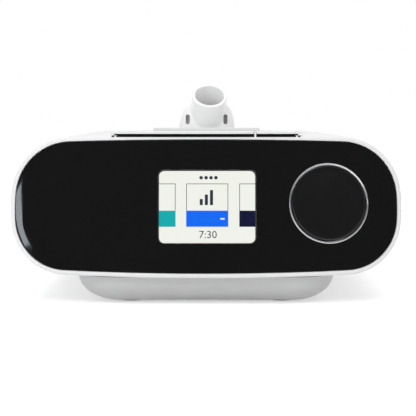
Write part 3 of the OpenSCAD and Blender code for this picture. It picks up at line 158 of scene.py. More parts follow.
class PortSizes(bpy.types.PropertyGroup):
    """The slanted hose port"""

    radius: bpy.props.FloatProperty(
        name="Radius", description="Radius of the tube's outside", unit="LENGTH", default=11 * MM)
    bore: bpy.props.FloatProperty(
        name="Bore", description="Radius of the tube's bore", unit="LENGTH", default=9.15 * MM)
    length: bpy.props.FloatProperty(
        name="Length", description="Length of the tube along its axis", unit="LENGTH", default=29.6 * MM)
    lean: bpy.props.FloatProperty(
        name="Lean", description="Lean of the tube to the front", subtype="ANGLE", default=math.radians(42))
    turn: bpy.props.FloatProperty(
        name="Turn", description="Turn of the tube about the vertical", subtype="ANGLE",
        default=math.radians(5.5))
    foot_width: bpy.props.FloatProperty(
        name="Foot width", description="From the middle of the foot to either end, on the lid",
        unit="LENGTH", default=18.4 * MM)
    foot_depth: bpy.props.FloatProperty(
        name="Foot depth", description="From the middle of the foot to its back, on the lid", unit="LENGTH",
        default=15 * MM)
    foot_height: bpy.props.FloatProperty(
        name="Foot height", description="Height above the lid at which the foot runs into the tube",
        unit="LENGTH", default=18.5 * MM)
    slot_width: bpy.props.FloatProperty(
        name="Slot width", description="Width of the slots beside the tube", unit="LENGTH",
        default=2.6 * MM)
    slot_height: bpy.props.FloatProperty(
        name="Slot height", description="Height of the slots beside the tube", unit="LENGTH",
        default=6.2 * MM)


class Colours(bpy.types.PropertyGroup):
    """The colours that a user would change"""

    shell: bpy.props.FloatVectorProperty(
        name="Shell", description="The white shells, the rim and the doors", subtype="COLOR", size=3,
        default=(0.80, 0.80, 0.80))
    # This grey is partly the lower shell's pale grey plastic and partly painted shade, darkened for the
    # underside that lies in the overhang's shadow.
    pedestal: bpy.props.FloatVectorProperty(
        name="Lower shell", description="The pale grey lower shell with its pedestal", subtype="COLOR",
        size=3, default=(0.61, 0.61, 0.61))
    fascia: bpy.props.FloatVectorProperty(
        name="Fascia", description="The glossy black front", subtype="COLOR", size=3,
        default=(0.0055, 0.0055, 0.006))
    panel: bpy.props.FloatVectorProperty(
        name="Screen", description="The lit screen's ground", subtype="COLOR", size=3,
        default=(0.92, 0.93, 0.86))
    band_left: bpy.props.FloatVectorProperty(
        name="Left band", description="Band of the screen's left card", subtype="COLOR", size=3,
        default=(0.001, 0.42, 0.44))
    band_middle: bpy.props.FloatVectorProperty(
        name="Middle band", description="Band of the screen's middle card", subtype="COLOR", size=3,
        default=(0.0015, 0.145, 0.94))
    band_right: bpy.props.FloatVectorProperty(
        name="Right band", description="Band of the screen's right card", subtype="COLOR", size=3,
        default=(0.0005, 0.002, 0.031))


# The scene's field for each group
SIZE_GROUPS = {
    "case_sizes": CaseSizes, "front_sizes": FrontSizes, "dial_sizes": DialSizes, "port_sizes": PortSizes,
    "part_colours": Colours,
}


# Shared shader groups


def group_sockets(tree, inputs, outputs):
    """Gives a group its named inputs and outputs, and returns the nodes that stand for them."""
    for name, value in inputs:
        socket = tree.interface.new_socket(name=name, in_out="INPUT", socket_type="NodeSocketFloat")
        socket.default_value = value
    for name in outputs:
        tree.interface.new_socket(name=name, in_out="OUTPUT", socket_type="NodeSocketFloat")
    return tree.nodes.new("NodeGroupInput"), tree.nodes.new("NodeGroupOutput")


def node(tree, kind, links=(), **values):
    """Adds a node, sets its fields and its inputs, by number or by name, and links what feeds it."""
    made = tree.nodes.new(kind)
    for key, value in values.items():
        if key.startswith("in_"):
            socket = key[3:].replace("_", " ")
            made.inputs[int(socket) if socket.isdigit() else socket].default_value = value
        else:
            setattr(made, key, value)
    for socket, source in links:
        tree.links.new(source, made.inputs[socket])
    return made


def object_place(tree):
    """Each point's place on its own piece, in metres."""
    return node(tree, "ShaderNodeTexCoord").outputs["Object"]


def per_metre(tree, size):
    """Scale of a texture whose features have a size in millimetres."""
    return node(tree, "ShaderNodeMath", operation="DIVIDE", in_0=1000.0, links=((1, size),)).outputs[0]


def moulded_surface():
    """Fine spark-eroded grain, with slow drifts in tone and gloss as on a moulded shell."""
    tree = bpy.data.node_groups.new("moulded_surface", "ShaderNodeTree")
    given, out = group_sockets(
        tree, (("Grain size", 0.4), ("Grain", 1.0), ("Drift", 1.0)), ("Height", "Tone", "Gloss"))
    place = object_place(tree)
    grain = node(tree, "ShaderNodeTexNoise", noise_dimensions="3D", in_Detail=2,
                 links=(("Vector", place), ("Scale", per_metre(tree, given.outputs["Grain size"]))))
    height = node(tree, "ShaderNodeMath", operation="MULTIPLY",
                  links=((0, grain.outputs[0]), (1, given.outputs["Grain"])))
    drift = node(tree, "ShaderNodeTexNoise", in_Scale=22, in_Detail=3, links=(("Vector", place),))
    tone = node(tree, "ShaderNodeMath", operation="MULTIPLY",
                links=((0, drift.outputs[0]), (1, given.outputs["Drift"])))
    smear = node(tree, "ShaderNodeTexNoise", in_Scale=60, in_Distortion=1.5, links=(("Vector", place),))
    gloss = node(tree, "ShaderNodeMapRange", in_1=0.35, in_2=0.7, links=((0, smear.outputs[0]),))
    tree.links.new(height.outputs[0], out.inputs["Height"])
    tree.links.new(tone.outputs[0], out.inputs["Tone"])
    tree.links.new(gloss.outputs[0], out.inputs["Gloss"])
    return tree


def turned_metal():
    """Fine lines, as a lathe or a brush leaves them along one axis."""
    tree = bpy.data.node_groups.new("turned_metal", "ShaderNodeTree")
    given, out = group_sockets(
        tree, (("Along x", 1.0), ("Along y", 1.0), ("Along z", 0.05)), ("Height", "Tone"))
    stretch = node(tree, "ShaderNodeCombineXYZ", links=(
        (0, given.outputs[0]), (1, given.outputs[1]), (2, given.outputs[2])))
    laid = node(tree, "ShaderNodeVectorMath", operation="MULTIPLY",
                links=((0, object_place(tree)), (1, stretch.outputs[0])))
    lines = node(tree, "ShaderNodeTexNoise", in_Scale=3000, in_Detail=3, links=(("Vector", laid.outputs[0]),))
    tree.links.new(lines.outputs[0], out.inputs["Height"])
    tree.links.new(lines.outputs[0], out.inputs["Tone"])
    return tree


def fibre_web():
    """Crossed fibres for filters, and round cells for foam."""
    tree = bpy.data.node_groups.new("fibre_web", "ShaderNodeTree")
    given, out = group_sockets(tree, (("Cell size", 0.8), ("Fibres", 0.5)), ("Height", "Tone"))
    feeds = (("Vector", object_place(tree)), ("Scale", per_metre(tree, given.outputs["Cell size"])))
    cells = node(tree, "ShaderNodeTexVoronoi", feature="SMOOTH_F1", links=feeds)
    fibres = node(tree, "ShaderNodeTexNoise", in_Detail=5, in_Distortion=2.5, links=feeds)
    mixed = node(tree, "ShaderNodeMix", data_type="FLOAT", links=(
        (0, given.outputs["Fibres"]), (2, cells.outputs["Distance"]), (3, fibres.outputs[0])))
    tree.links.new(mixed.outputs[0], out.inputs["Height"])
    tree.links.new(mixed.outputs[0], out.inputs["Tone"])
    return tree


def board_tracks():
    """Tracks and pads of a lacquered circuit board."""
    tree = bpy.data.node_groups.new("board_tracks", "ShaderNodeTree")
    given, out = group_sockets(tree, (("Pitch", 3.0),), ("Track", "Height"))
    cells = node(tree, "ShaderNodeTexVoronoi", feature="DISTANCE_TO_EDGE", distance="EUCLIDEAN",
                 in_Randomness=0.35, links=(("Vector", object_place(tree)),
                                            ("Scale", per_metre(tree, given.outputs["Pitch"]))))
    track = node(tree, "ShaderNodeMapRange", in_1=0.04, in_2=0.09, in_3=1.0, in_4=0.0,
                 links=((0, cells.outputs[0]),))
    tree.links.new(track.outputs[0], out.inputs["Track"])
    tree.links.new(track.outputs[0], out.inputs["Height"])
    return tree


GROUPS = {}


def shared_group(maker):
    """A shader group, built the first time that it is asked for."""
    if maker.__name__ not in GROUPS:
        GROUPS[maker.__name__] = maker()
    return GROUPS[maker.__name__]


# Finishes


def plain_surface(name, colour, roughness, **shader):
    """A material with one shader, whose constants sit on the shader's own sockets."""
    made = bpy.data.materials.new(name)
    made.use_nodes = True
    tree = made.node_tree
    tree.nodes.clear()
    out = tree.nodes.new("ShaderNodeOutputMaterial")
    body = tree.nodes.new("ShaderNodeBsdfPrincipled")
    body.inputs["Base Color"].default_value = (*colour[:3], 1)
    body.inputs["Roughness"].default_value = roughness
    for key, value in shader.items():
        body.inputs[key.replace("_", " ")].default_value = value
    tree.links.new(body.outputs[0], out.inputs["Surface"])
    made.diffuse_color = (*colour[:3], 1)
    return made, tree, body


def blended(tree, share, first, second):
    """A colour between two, by a share that changes over the surface."""
    mixed = node(tree, "ShaderNodeMix", data_type="RGBA", in_6=(*first[:3], 1), in_7=(*second[:3], 1),
                 links=((0, share),))
    return mixed.outputs[2]


def darker(colour, amount):
    """A colour with each channel lowered by a share."""
    return [channel * (1 - amount) for channel in colour[:3]]


def toned(tree, body, colour, amount, tone):
    """Lets a slowly changing tone darken the base colour a little."""
    tree.links.new(blended(tree, tone, colour, darker(colour, amount)), body.inputs["Base Color"])


def glossed(tree, body, low, high, gloss):
    """Lets the roughness vary between two values."""
    spread = node(tree, "ShaderNodeMapRange", in_3=low, in_4=high, links=((0, gloss),))
    tree.links.new(spread.outputs[0], body.inputs["Roughness"])


def bumped(tree, body, depth, height):
    """Raises the surface by a height, a depth in metres at most."""
    bump = node(tree, "ShaderNodeBump", in_Strength=1, in_Distance=depth, links=(("Height", height),))
    tree.links.new(bump.outputs[0], body.inputs["Normal"])


def placed(tree, maker, **values):
    """Places a shared group in a material with its own values."""
    made = node(tree, "ShaderNodeGroup")
    made.node_tree = shared_group(maker)
    for key, value in values.items():
        made.inputs[key.replace("_", " ").capitalize()].default_value = value
    return made


def moulded(name, colour, roughness, spread=0.06, depth=0.006, size=0.35, drift=0.04, **shader):
    """Moulded plastic: fine grain, a slow drift in tone, and slightly uneven gloss."""
    made, tree, body = plain_surface(name, colour, roughness, **shader)
    skin = placed(tree, moulded_surface, grain_size=size)
    toned(tree, body, colour, drift, skin.outputs["Tone"])
    glossed(tree, body, roughness - spread, roughness + spread, skin.outputs["Gloss"])
    bumped(tree, body, depth * MM, skin.outputs["Height"])
    return made


def turned(name, colour, roughness, along=(1.0, 1.0, 0.04), depth=0.004):
    """Metal with the fine lines that a lathe or brush leaves."""
    made, tree, body = plain_surface(name, colour, roughness, Metallic=1.0)
    lines = placed(tree, turned_metal, along_x=along[0], along_y=along[1], along_z=along[2])
    toned(tree, body, colour, 0.25, lines.outputs["Tone"])
    glossed(tree, body, roughness - 0.07, roughness + 0.1, lines.outputs["Tone"])
    bumped(tree, body, depth * MM, lines.outputs["Height"])
    return made


def webbed(name, colour, cell, fibres, depth):
    """Filter fibre or open foam."""
    made, tree, body = plain_surface(name, colour, 0.95)
    web = placed(tree, fibre_web, cell_size=cell, fibres=fibres)
    toned(tree, body, colour, 0.6, web.outputs["Tone"])
    bumped(tree, body, depth * MM, web.outputs["Height"])
    return made


def board(name):
    """Lacquered circuit board with copper tracks under the lacquer."""
    lacquer, track = (0.012, 0.10, 0.045), (0.03, 0.20, 0.08)
    made, tree, body = plain_surface(name, lacquer, 0.35)
    tracks = placed(tree, board_tracks, pitch=3.2)
    tree.links.new(blended(tree, tracks.outputs["Track"], lacquer, track), body.inputs["Base Color"])
    bumped(tree, body, 0.03 * MM, tracks.outputs["Height"])
    return made


def clear(name, colour, roughness, ior=1.49):
    """Clear moulded plastic with faint smears."""
    made, tree, body = plain_surface(name, colour, roughness, IOR=ior, Transmission_Weight=1.0)
    skin = placed(tree, moulded_surface, grain_size=2.0)
    glossed(tree, body, roughness, roughness + 0.05, skin.outputs["Gloss"])
    bumped(tree, body, 0.002 * MM, skin.outputs["Height"])
    return made


def lit(name, colour):
    """A patch of the lit screen, with its fine rows of pixels."""
    made, tree, body = plain_surface(name, (0, 0, 0), 1.0, Specular_IOR_Level=0.0, Emission_Strength=1.0)
    rows = node(tree, "ShaderNodeTexWave", bands_direction="Z", in_Scale=1250,
                links=(("Vector", object_place(tree)),))
    shade = blended(tree, rows.outputs[1], colour, darker(colour, 0.03))
    tree.links.new(shade, body.inputs["Emission Color"])
    return made


FINISHES = {}


def make_finishes(colours):
    """Every finish of the machine, by the name that its pieces use."""
    f = FINISHES
    f["shell"] = moulded("shell_plastic", colours.shell, 0.38)
    # The lower shell's grey: pale grey plastic, with painted shade for the shadow under the case's overhang.
    f["lower_shell"] = moulded("lower_grey_and_painted_shade_plastic", colours.pedestal, 0.5, depth=0.012, size=0.5)
    f["cap"] = moulded("button_cap_plastic", [c * 0.98 for c in colours.shell], 0.45)
    f["latch"] = moulded("latch_plastic", [c * 0.97 for c in colours.shell], 0.42)
    # A whiter copy of the shell plastic: painted light, which brightens the tube and its shaded bore.
    f["port"] = moulded("port_plastic_painted_light", [min(0.94, c * 1.17) for c in colours.shell], 0.35, spread=0.02,
                        drift=0.015)
    f["fascia"] = moulded("gloss_black_plastic", colours.fascia, 0.06, spread=0.03, depth=0.0004, size=1.5,
                          drift=0.3, Specular_IOR_Level=0.3)
    f["dial"] = moulded("dial_face_plastic", (0.0065, 0.0065, 0.007), 0.22, spread=0.02, depth=0.001,
                        drift=0.1, Specular_IOR_Level=0.3)
    f["ring"] = turned("bright_ring_metal", (0.92, 0.93, 0.95), 0.1, along=(1, 1, 1), depth=0.0006)
    f["steel"] = turned("turned_steel", (0.56, 0.56, 0.58), 0.32)
    f["brass"] = turned("turned_brass", (0.66, 0.48, 0.2), 0.34)
    f["plate"] = turned("brushed_plate", (0.6, 0.6, 0.62), 0.4, along=(1.0, 0.03, 1.0))
    f["copper"] = turned("enamelled_winding", (0.55, 0.22, 0.08), 0.35, along=(0.1, 0.1, 1.0), depth=0.05)
    f["magnet"] = moulded("coated_magnet", (0.05, 0.05, 0.055), 0.45, depth=0.01)
    f["black"] = moulded("black_moulding", (0.02, 0.02, 0.022), 0.5, depth=0.01)
    f["rubber"] = moulded("soft_rubber", (0.028, 0.028, 0.03), 0.8, spread=0.05, depth=0.02, size=0.6)
    f["seal"] = moulded("silicone_seal", (0.22, 0.23, 0.25), 0.55, depth=0.008)
    f["chassis"] = moulded("chassis_moulding", (0.09, 0.093, 0.1), 0.55, depth=0.015, size=0.6)
    f["duct"] = moulded("duct_moulding", (0.62, 0.62, 0.6), 0.45, depth=0.01)
    f["impeller"] = moulded("impeller_moulding", (0.72, 0.72, 0.7), 0.35)
    f["foam"] = webbed("open_foam", (0.05, 0.05, 0.055), 1.1, 0.2, 0.5)
    f["fine_filter"] = webbed("fine_filter_fibre", (0.8, 0.8, 0.78), 0.5, 0.9, 0.15)
    f["pollen_filter"] = webbed("pollen_filter_fibre", (0.12, 0.13, 0.15), 0.9, 0.7, 0.35)
    f["board"] = board("circuit_board")
    f["window"] = clear("clear_window_plastic", (0.97, 0.98, 0.98), 0.02, ior=1.22)
    f["tank"] = clear("tank_plastic", (0.86, 0.92, 0.96), 0.06)
    f["panel"] = lit("screen_ground", colours.panel)
    f["panel_line"] = lit("screen_line", (0.13, 0.135, 0.13))
    f["panel_ink"] = lit("screen_ink", (0.02, 0.03, 0.05))
    f["panel_label"] = lit("screen_label", (0.05, 0.055, 0.06))
    f["panel_pale"] = lit("screen_pale", (0.75, 0.86, 0.95))
    f["band_left"] = lit("screen_band_left", colours.band_left)
    f["band_middle"] = lit("screen_band_middle", colours.band_middle)
    f["band_right"] = lit("screen_band_right", colours.band_right)


# The finish of each exact part that stays
NODE_FINISH = {
    "display_module": "black", "display_board": "board", "dial_shaft": "steel", "encoder_rotor": "brass",
    "encoder_body": "black", "chassis": "chassis", "button_board": "board",
    "button_switches": "black", "volute_lower": "duct", "volute_upper": "duct", "motor_cover": "chassis",
    "impeller": "impeller", "motor_shaft": "steel", "motor_magnet": "magnet", "motor_stator": "copper",
    "motor_bearings": "steel", "blower_mounts": "rubber", "intake_box": "duct", "muffler_foam": "foam",
    "fine_filter": "fine_filter", "pollen_filter": "pollen_filter", "door_pins": "steel",
    "sd_card": "black", "sd_socket": "steel", "main_board": "board", "flow_sensor": "black",
    "alarm_speaker": "black", "outlet_duct": "seal", "outlet_seal": "seal", "dock_socket": "black",
    "dock_plug": "black", "lid_pins": "steel", "lid_seal": "seal", "dry_box": "duct",
    "tank_base": "tank", "tank_lid": "tank", "tank_plate": "plate", "heater_plate": "plate",
    "heater_springs": "steel", "humidifier_board": "board", "power_inlet": "black",
    "rubber_feet": "rubber", "screws": "steel",
}


# Bmesh helpers


def shown(name, data):
    """Puts data into the scene as an object."""
    made = bpy.data.objects.new(name, data)
    bpy.context.scene.collection.objects.link(made)
    return made


def piece(name, bm, body, finish, nodes=(), crease=35.0):
    """Makes the finished mesh an object at the origin that rides with its body."""
    mesh = bpy.data.meshes.new(name)
    bm.normal_update()
    bm.to_mesh(mesh)
    bm.free()
    for key in ([finish] if isinstance(finish, str) else finish):
        mesh.materials.append(FINISHES[key])
    made = shown(name, mesh)
    mesh.shade_smooth()
    mesh.set_sharp_from_angle(angle=math.radians(crease))
    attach(made, body)
    if nodes:
        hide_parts(*nodes)
    return made


def loose(bm):
    """A temporary object for a cutter, or a shape that is still being joined."""
    mesh = bpy.data.meshes.new("cutter")
    bm.to_mesh(mesh)
    bm.free()
    return shown("cutter", mesh)


def settled(made):
    """Turns the modifiers of an object into its own mesh."""
    graph = bpy.context.evaluated_depsgraph_get()
    mesh = bpy.data.meshes.new_from_object(made.evaluated_get(graph), depsgraph=graph)
    old = made.data
    made.modifiers.clear()
    made.data = mesh
    bpy.data.meshes.remove(old)
    return made


def taken_back(made):
    """The mesh of a temporary object, which is removed."""
    bm = bmesh.new()
    bm.from_mesh(made.data)
    bpy.data.objects.remove(made)
    return bm


def in_order(bm):
    """Sorts the points by place, because the cuts give them in another order at each run."""
    for rank, v in enumerate(sorted(bm.verts, key=lambda v: tuple(v.co))):
        v.index = rank
    bm.verts.sort()


def cut(made, *cutters, operation="DIFFERENCE"):
    """Cuts away or joins on shapes, one after the other."""
    for cutter in cutters:
        tool = loose(cutter)
        change = made.modifiers.new("cut", "BOOLEAN")
        change.operation = operation
        change.solver = "EXACT"
        change.object = tool
        settled(made)
        bpy.data.objects.remove(tool)
    return made


def walled(bm, thickness):
    """Gives an open skin that faces the front a wall behind it."""
    made = loose(bm)
    wall = made.modifiers.new("wall", "SOLIDIFY")
    wall.thickness = thickness
    wall.offset = -1
    return taken_back(settled(made))


def box_mesh(low, high, corner=0.0, axis="z"):
    """A block between two corners, its edges along one axis rounded where a radius is given."""
    low, high = Vector(low), Vector(high)
    bm = bmesh.new()
    bmesh.ops.create_cube(bm, size=1)
    bmesh.ops.scale(bm, vec=high - low, verts=bm.verts)
    bmesh.ops.translate(bm, vec=(low + high) / 2, verts=bm.verts)
    if corner:
        along = {"x": 0, "y": 1, "z": 2}[axis]
        edges = [e for e in bm.edges
                 if abs((e.verts[0].co - e.verts[1].co).normalized()[along]) > 0.9]
        bmesh.ops.bevel(bm, geom=edges, offset=corner, segments=6, profile=0.5, affect="EDGES", material=-1,
                        clamp_overlap=True)
    return bm


def rod_mesh(centre, axis, length, radius, sides=64):
    """A rod about a centre along an axis."""
    bm = bmesh.new()
    bmesh.ops.create_cone(bm, cap_ends=True, segments=sides, radius1=radius, radius2=radius, depth=length)
    turn = Vector((0, 0, 1)).rotation_difference(Vector(axis)).to_matrix()
    bmesh.ops.rotate(bm, cent=(0, 0, 0), matrix=turn, verts=bm.verts)
    bmesh.ops.translate(bm, vec=centre, verts=bm.verts)
    return bm


def joined(*meshes):
    """One mesh that holds several."""
    whole = bmesh.new()
    for bm in meshes:
        part = bpy.data.meshes.new("part")
        bm.to_mesh(part)
        bm.free()
        whole.from_mesh(part)
        bpy.data.meshes.remove(part)
    return whole


def spun(profile, place, steps=144):
    """Turns a profile of (radius, height) points a full circle about Z, then puts it in place."""
    bm = bmesh.new()
    points = [bm.verts.new((r, 0, h)) for r, h in profile]
    for a, b in zip(points, points[1:]):
        bm.edges.new((a, b))
    bmesh.ops.spin(bm, geom=list(bm.verts) + list(bm.edges), cent=(0, 0, 0), axis=(0, 0, 1),
                   angle=2 * math.pi, steps=steps, use_merge=True, use_duplicate=False)
    bmesh.ops.remove_doubles(bm, verts=bm.verts, dist=1e-7)
    bmesh.ops.recalc_face_normals(bm, faces=bm.faces)
    bmesh.ops.transform(bm, matrix=place, verts=bm.verts)
    return bm


def ring_edges(bm, build):
    """Runs a step that draws one closed ring, and returns the edges it drew."""
    for edge in bm.edges:
        edge.tag = True
    build()
    return [edge for edge in bm.edges if not edge.tag]


def swept(bm, point, centre, angle, steps):
    """Draws an arc in the front view, from a point about a centre, and returns its last point."""
    made = bmesh.ops.spin(bm, geom=[point], cent=centre, axis=FRONT_AXIS, angle=angle, steps=steps,
                          use_merge=False, use_duplicate=False)
    return [v for v in made["geom_last"] if isinstance(v, bmesh.types.BMVert)][0]


def touching(near, far_middle, near_r, far_r, r):
    """Middle of a circle of radius r that touches two larger circles from inside."""
    way = far_middle - near
    apart = way.length
    way.normalize()
    along = ((near_r - r) ** 2 - (far_r - r) ** 2 + apart ** 2) / (2 * apart)
    return near + way * along + Vector((way.y, -way.x)) * math.sqrt((near_r - r) ** 2 - along ** 2)


def case_ring(bm, case, y, inset=0.0):
    """One cross section of the case: crown, corner and end arcs that run into each other."""
    half_w = case.half_width - inset
    half_h = (case.top - case.low) / 2 - inset
    middle = (case.top + case.low) / 2
    crown, end = case.crown - inset, case.end - inset
    end_middle = Vector((half_w - end, -case.end_drop))

    def draw():
        point = bm.verts.new((0, y, middle + half_h))
        for up, corner in ((1, case.upper_corner), (-1, case.lower_corner)):
            r = corner - inset
            near = Vector((0, half_h - crown))
            ending = Vector((end_middle.x, up * end_middle.y))
            knee = touching(near, ending, crown, end, r)
            a_crown = math.atan2(knee.y - near.y, knee.x - near.x)
            a_end = math.atan2(knee.y - ending.y, knee.x - ending.x)
            # Each arc's centre, angle and number of steps, from the crown to the end
            arcs = [(near, math.pi / 2 - a_crown, 10), (knee, a_crown - a_end, 14), (ending, a_end, 5)]
            for centre, angle, steps in (arcs if up > 0 else arcs[::-1]):
                point = swept(bm, point, (centre.x, y, middle + up * centre.y), angle, steps)
        point.co.x = 0

    drawn = ring_edges(bm, draw)
    verts = list({v for e in drawn for v in e.verts})
    made = bmesh.ops.mirror(bm, geom=verts + drawn, matrix=Matrix.Identity(4), merge_dist=1e-6, axis="X")
    mirrored = [e for e in made["geom"] if isinstance(e, bmesh.types.BMEdge)]
    whole = drawn + mirrored
    bmesh.ops.remove_doubles(bm, verts=list({v for e in whole for v in e.verts}), dist=1e-6)
    return [e for e in bm.edges if not e.tag]


def bridged(bm, rings, close=False):
    """Skins a row of rings, and joins the last to the first where it runs round."""
    pairs = list(zip(rings, rings[1:])) + ([(rings[-1], rings[0])] if close else [])
    for a, b in pairs:
        bmesh.ops.bridge_loops(bm, edges=a + b)


# Places on the front and the port


def middle_height(case):
    """Height of the middle of the front."""
    return (case.top + case.low) / 2


def face_middle(case, front):
    """Front-to-back place of the front at mid height."""
    return box_of("front_bezel")[0].y + (case.top - case.low) / 2 * math.tan(front.lean)


def face_dip(front, x, depth=0.0):
    """How far the front's curve falls back at a place across it, a depth below its surface."""
    return front.curve - math.sqrt((front.curve - depth) ** 2 - x * x)


def face_at(case, front, x, z, depth=0.0):
    """Front-to-back place of the curved, leaning front, a depth below its surface."""
    return (face_middle(case, front) + face_dip(front, x, depth) / math.cos(front.lean)
            + (z - middle_height(case)) * math.tan(front.lean))


def on_face(case, front):
    """From the front's own directions, X along it, Y into the machine and Z up the slope."""
    return (Matrix.Translation((0, face_middle(case, front), middle_height(case)))
            @ Matrix.Rotation(-front.lean, 4, "X"))


def on_dial(case, front, dial):
    """From the dial's own directions, Z out of the machine along its axis."""
    return (on_face(case, front) @ Matrix.Translation((dial.along, face_dip(front, dial.along), dial.up))
            @ Matrix.Rotation(math.asin(dial.along / front.curve), 4, "Z")
            @ Matrix.Rotation(math.radians(90), 4, "X"))


def on_port(case, port):
    """From the port's own directions, Z along its tube."""
    low, high = box_of("lid_seal")
    return (Matrix.Translation((0, (low.y + high.y) / 2, case.top))
            @ Matrix.Rotation(port.turn, 4, "Z") @ Matrix.Rotation(port.lean, 4, "X"))


def rounded_plate(width, height, corner):
    """A flat plate in the X and Z directions, with rounded corners."""
    bm = bmesh.new()
    bmesh.ops.create_grid(bm, x_segments=1, y_segments=1, size=0.5)
    bmesh.ops.scale(bm, vec=(width, height, 1), verts=bm.verts)
    bmesh.ops.rotate(bm, cent=(0, 0, 0), matrix=Matrix.Rotation(math.radians(90), 3, "X"), verts=bm.verts)
    bmesh.ops.bevel(bm, geom=list(bm.verts), offset=corner, segments=8, profile=0.5,
                    affect="VERTICES", material=-1)
    return bm


def sliced(bm, low, high, step):
    """Divides a mesh across, so that it can follow the front's curve."""
    x = low
    while x < high:
        bmesh.ops.bisect_plane(bm, geom=list(bm.verts) + list(bm.edges) + list(bm.faces), dist=1e-7,
                               plane_co=(x, 0, 0), plane_no=(1, 0, 0))
        x += step


def to_front(bm):
    """Turns an open skin so that it faces the front."""
    bmesh.ops.recalc_face_normals(bm, faces=bm.faces)
    bm.normal_update()
    if sum(f.normal.y * f.calc_area() for f in bm.faces) > 0:
        bmesh.ops.reverse_faces(bm, faces=bm.faces)


# Pieces of the front


# Shares of the fascia's margin at which its rings lie, closer together near the edge
MARGIN_RINGS = (0, 0.03, 0.08, 0.15, 0.25, 0.37, 0.5, 0.65, 0.82, 1.0)


def fascia_borders(case, front, dial, bm):
    """Draws the borders of the screen's and the dial's openings, flat in the front view."""
    gap = 0.15 * MM
    window = rounded_plate(front.screen_width + 2 * gap, front.screen_height + 2 * gap, front.screen_corner)
    bmesh.ops.transform(window, matrix=on_face(case, front) @ Matrix.Translation((front.screen_x, 0, 0)),
                        verts=window.verts)
    hole = bmesh.new()
    bmesh.ops.create_circle(hole, segments=128, radius=dial.ring / 2 + gap)
    bmesh.ops.transform(hole, matrix=on_dial(case, front, dial), verts=hole.verts)
    borders = []
    for shape in (window, hole):
        for v in shape.verts:
            v.co.y = 0
        if shape.faces:
            bmesh.ops.delete(shape, geom=shape.faces, context="FACES_ONLY")
        part = bpy.data.meshes.new("opening")
        shape.to_mesh(part)
        shape.free()
        borders += ring_edges(bm, lambda: bm.from_mesh(part))
        bpy.data.meshes.remove(part)
    return borders


def fascia_posts(case, front):
    """The four posts behind the fascia that the screen's board is screwed to."""
    radius, sunk, foot = 2.8 * MM, 0.6 * MM, 8.55 * MM
    seat = front.recess + front.fascia
    posts = []
    for x in (-46 * MM, 31 * MM):
        for z in (-19 * MM, 19 * MM):
            top = face_dip(front, x) + seat - sunk
            posts.append(rod_mesh((x, (top + foot) / 2, z), (0, 1, 0), foot - top, radius))
    group = joined(*posts)
    bmesh.ops.transform(group, matrix=on_face(case, front), verts=group.verts)
    return group


def fascia_piece(case, front, dial):
    """The glossy front. Its margin is drawn at the depth to which it rolls back, then laid on the curve."""
    bm = bmesh.new()
    edge = front.rim + 0.12 * MM
    rings = [case_ring(bm, case, front.roll * (1 - t) ** 2, inset=edge + front.roll_width * t)
             for t in MARGIN_RINGS]
    bridged(bm, rings)
    borders = rings[-1] + fascia_borders(case, front, dial, bm)
    bmesh.ops.triangle_fill(bm, edges=borders, use_beauty=True, use_dissolve=False, normal=(0, -1, 0))
    sliced(bm, -case.half_width, case.half_width, 3 * MM)
    for v in bm.verts:
        # The margin rolls back only towards the two ends
        to_end = min(1, max(0, (abs(v.co.x) - 0.6 * case.half_width) / (0.3 * case.half_width)))
        v.co.y = face_at(case, front, v.co.x, v.co.z, front.recess + v.co.y * to_end)
    to_front(bm)
    skin = walled(bm, front.fascia - front.roll)
    return piece("fascia", joined(skin, fascia_posts(case, front)), "case", "fascia",
                 ["front_fascia"], 30)


def post_holes(height):
    """Rods where the buttons' posts pass through what lies under them, a little wider than the posts."""
    gap, length, post_apart, end_band = 0.4 * MM, 16 * MM, 6 * MM, 0.05 * MM
    rods = []
    for cad in ("therapy_button", "ramp_button"):
        bm = merged_copy(cad)
        low = min(v.co.z for v in bm.verts)
        ends = sorted((v.co.copy() for v in bm.verts if v.co.z < low + end_band), key=lambda end: end.x)
        bm.free()
        while ends:
            near = [end for end in ends if end.x < ends[0].x + post_apart]
            ys = [end.y for end in near]
            wide = near[-1].x - near[0].x
            middle = ((near[0].x + near[-1].x) / 2, (min(ys) + max(ys)) / 2, height)
            rods.append(rod_mesh(middle, (0, 0, 1), length, wide / 2 + gap, 32))
            ends = ends[len(near):]
    return joined(*rods)


def rim_body(case, front, back):
    """The rim all round, as a closed ring of rolled front, ledge, inside and back."""
    bm = bmesh.new()
    rim, seat = front.rim, front.recess + front.fascia
    # How far in from the outline, and how far below the face, each step of the rolled front lies
    steps = [(0.0, 1.5 * MM), (0.05 * MM, 1.0 * MM), (0.2 * MM, 0.6 * MM), (0.42 * MM, 0.3 * MM),
             (0.75 * MM, 0.1 * MM), (1.15 * MM, 0.0), (rim - 0.55 * MM, 0.0), (rim - 0.35 * MM, 0.06 * MM),
             (rim - 0.22 * MM, 0.25 * MM), (rim - 0.15 * MM, 0.6 * MM), (rim - 0.15 * MM, seat),
             (rim + front.ledge, seat)]
    steps = [(0.0, None)] + steps + [(rim + front.ledge, None)]
    rings = []
    for inset, depth in steps:
        ring = case_ring(bm, case, 1.0 if depth is None else 0.5, inset=inset)
        rings.append((ring, depth))
    for ring, depth in rings:
        for v in {v for e in ring for v in e.verts}:
            v.co.y = back if depth is None else face_at(case, front, v.co.x, v.co.z, depth)
    bridged(bm, [ring for ring, depth in rings], close=True)
    bmesh.ops.recalc_face_normals(bm, faces=bm.faces)
    return bm


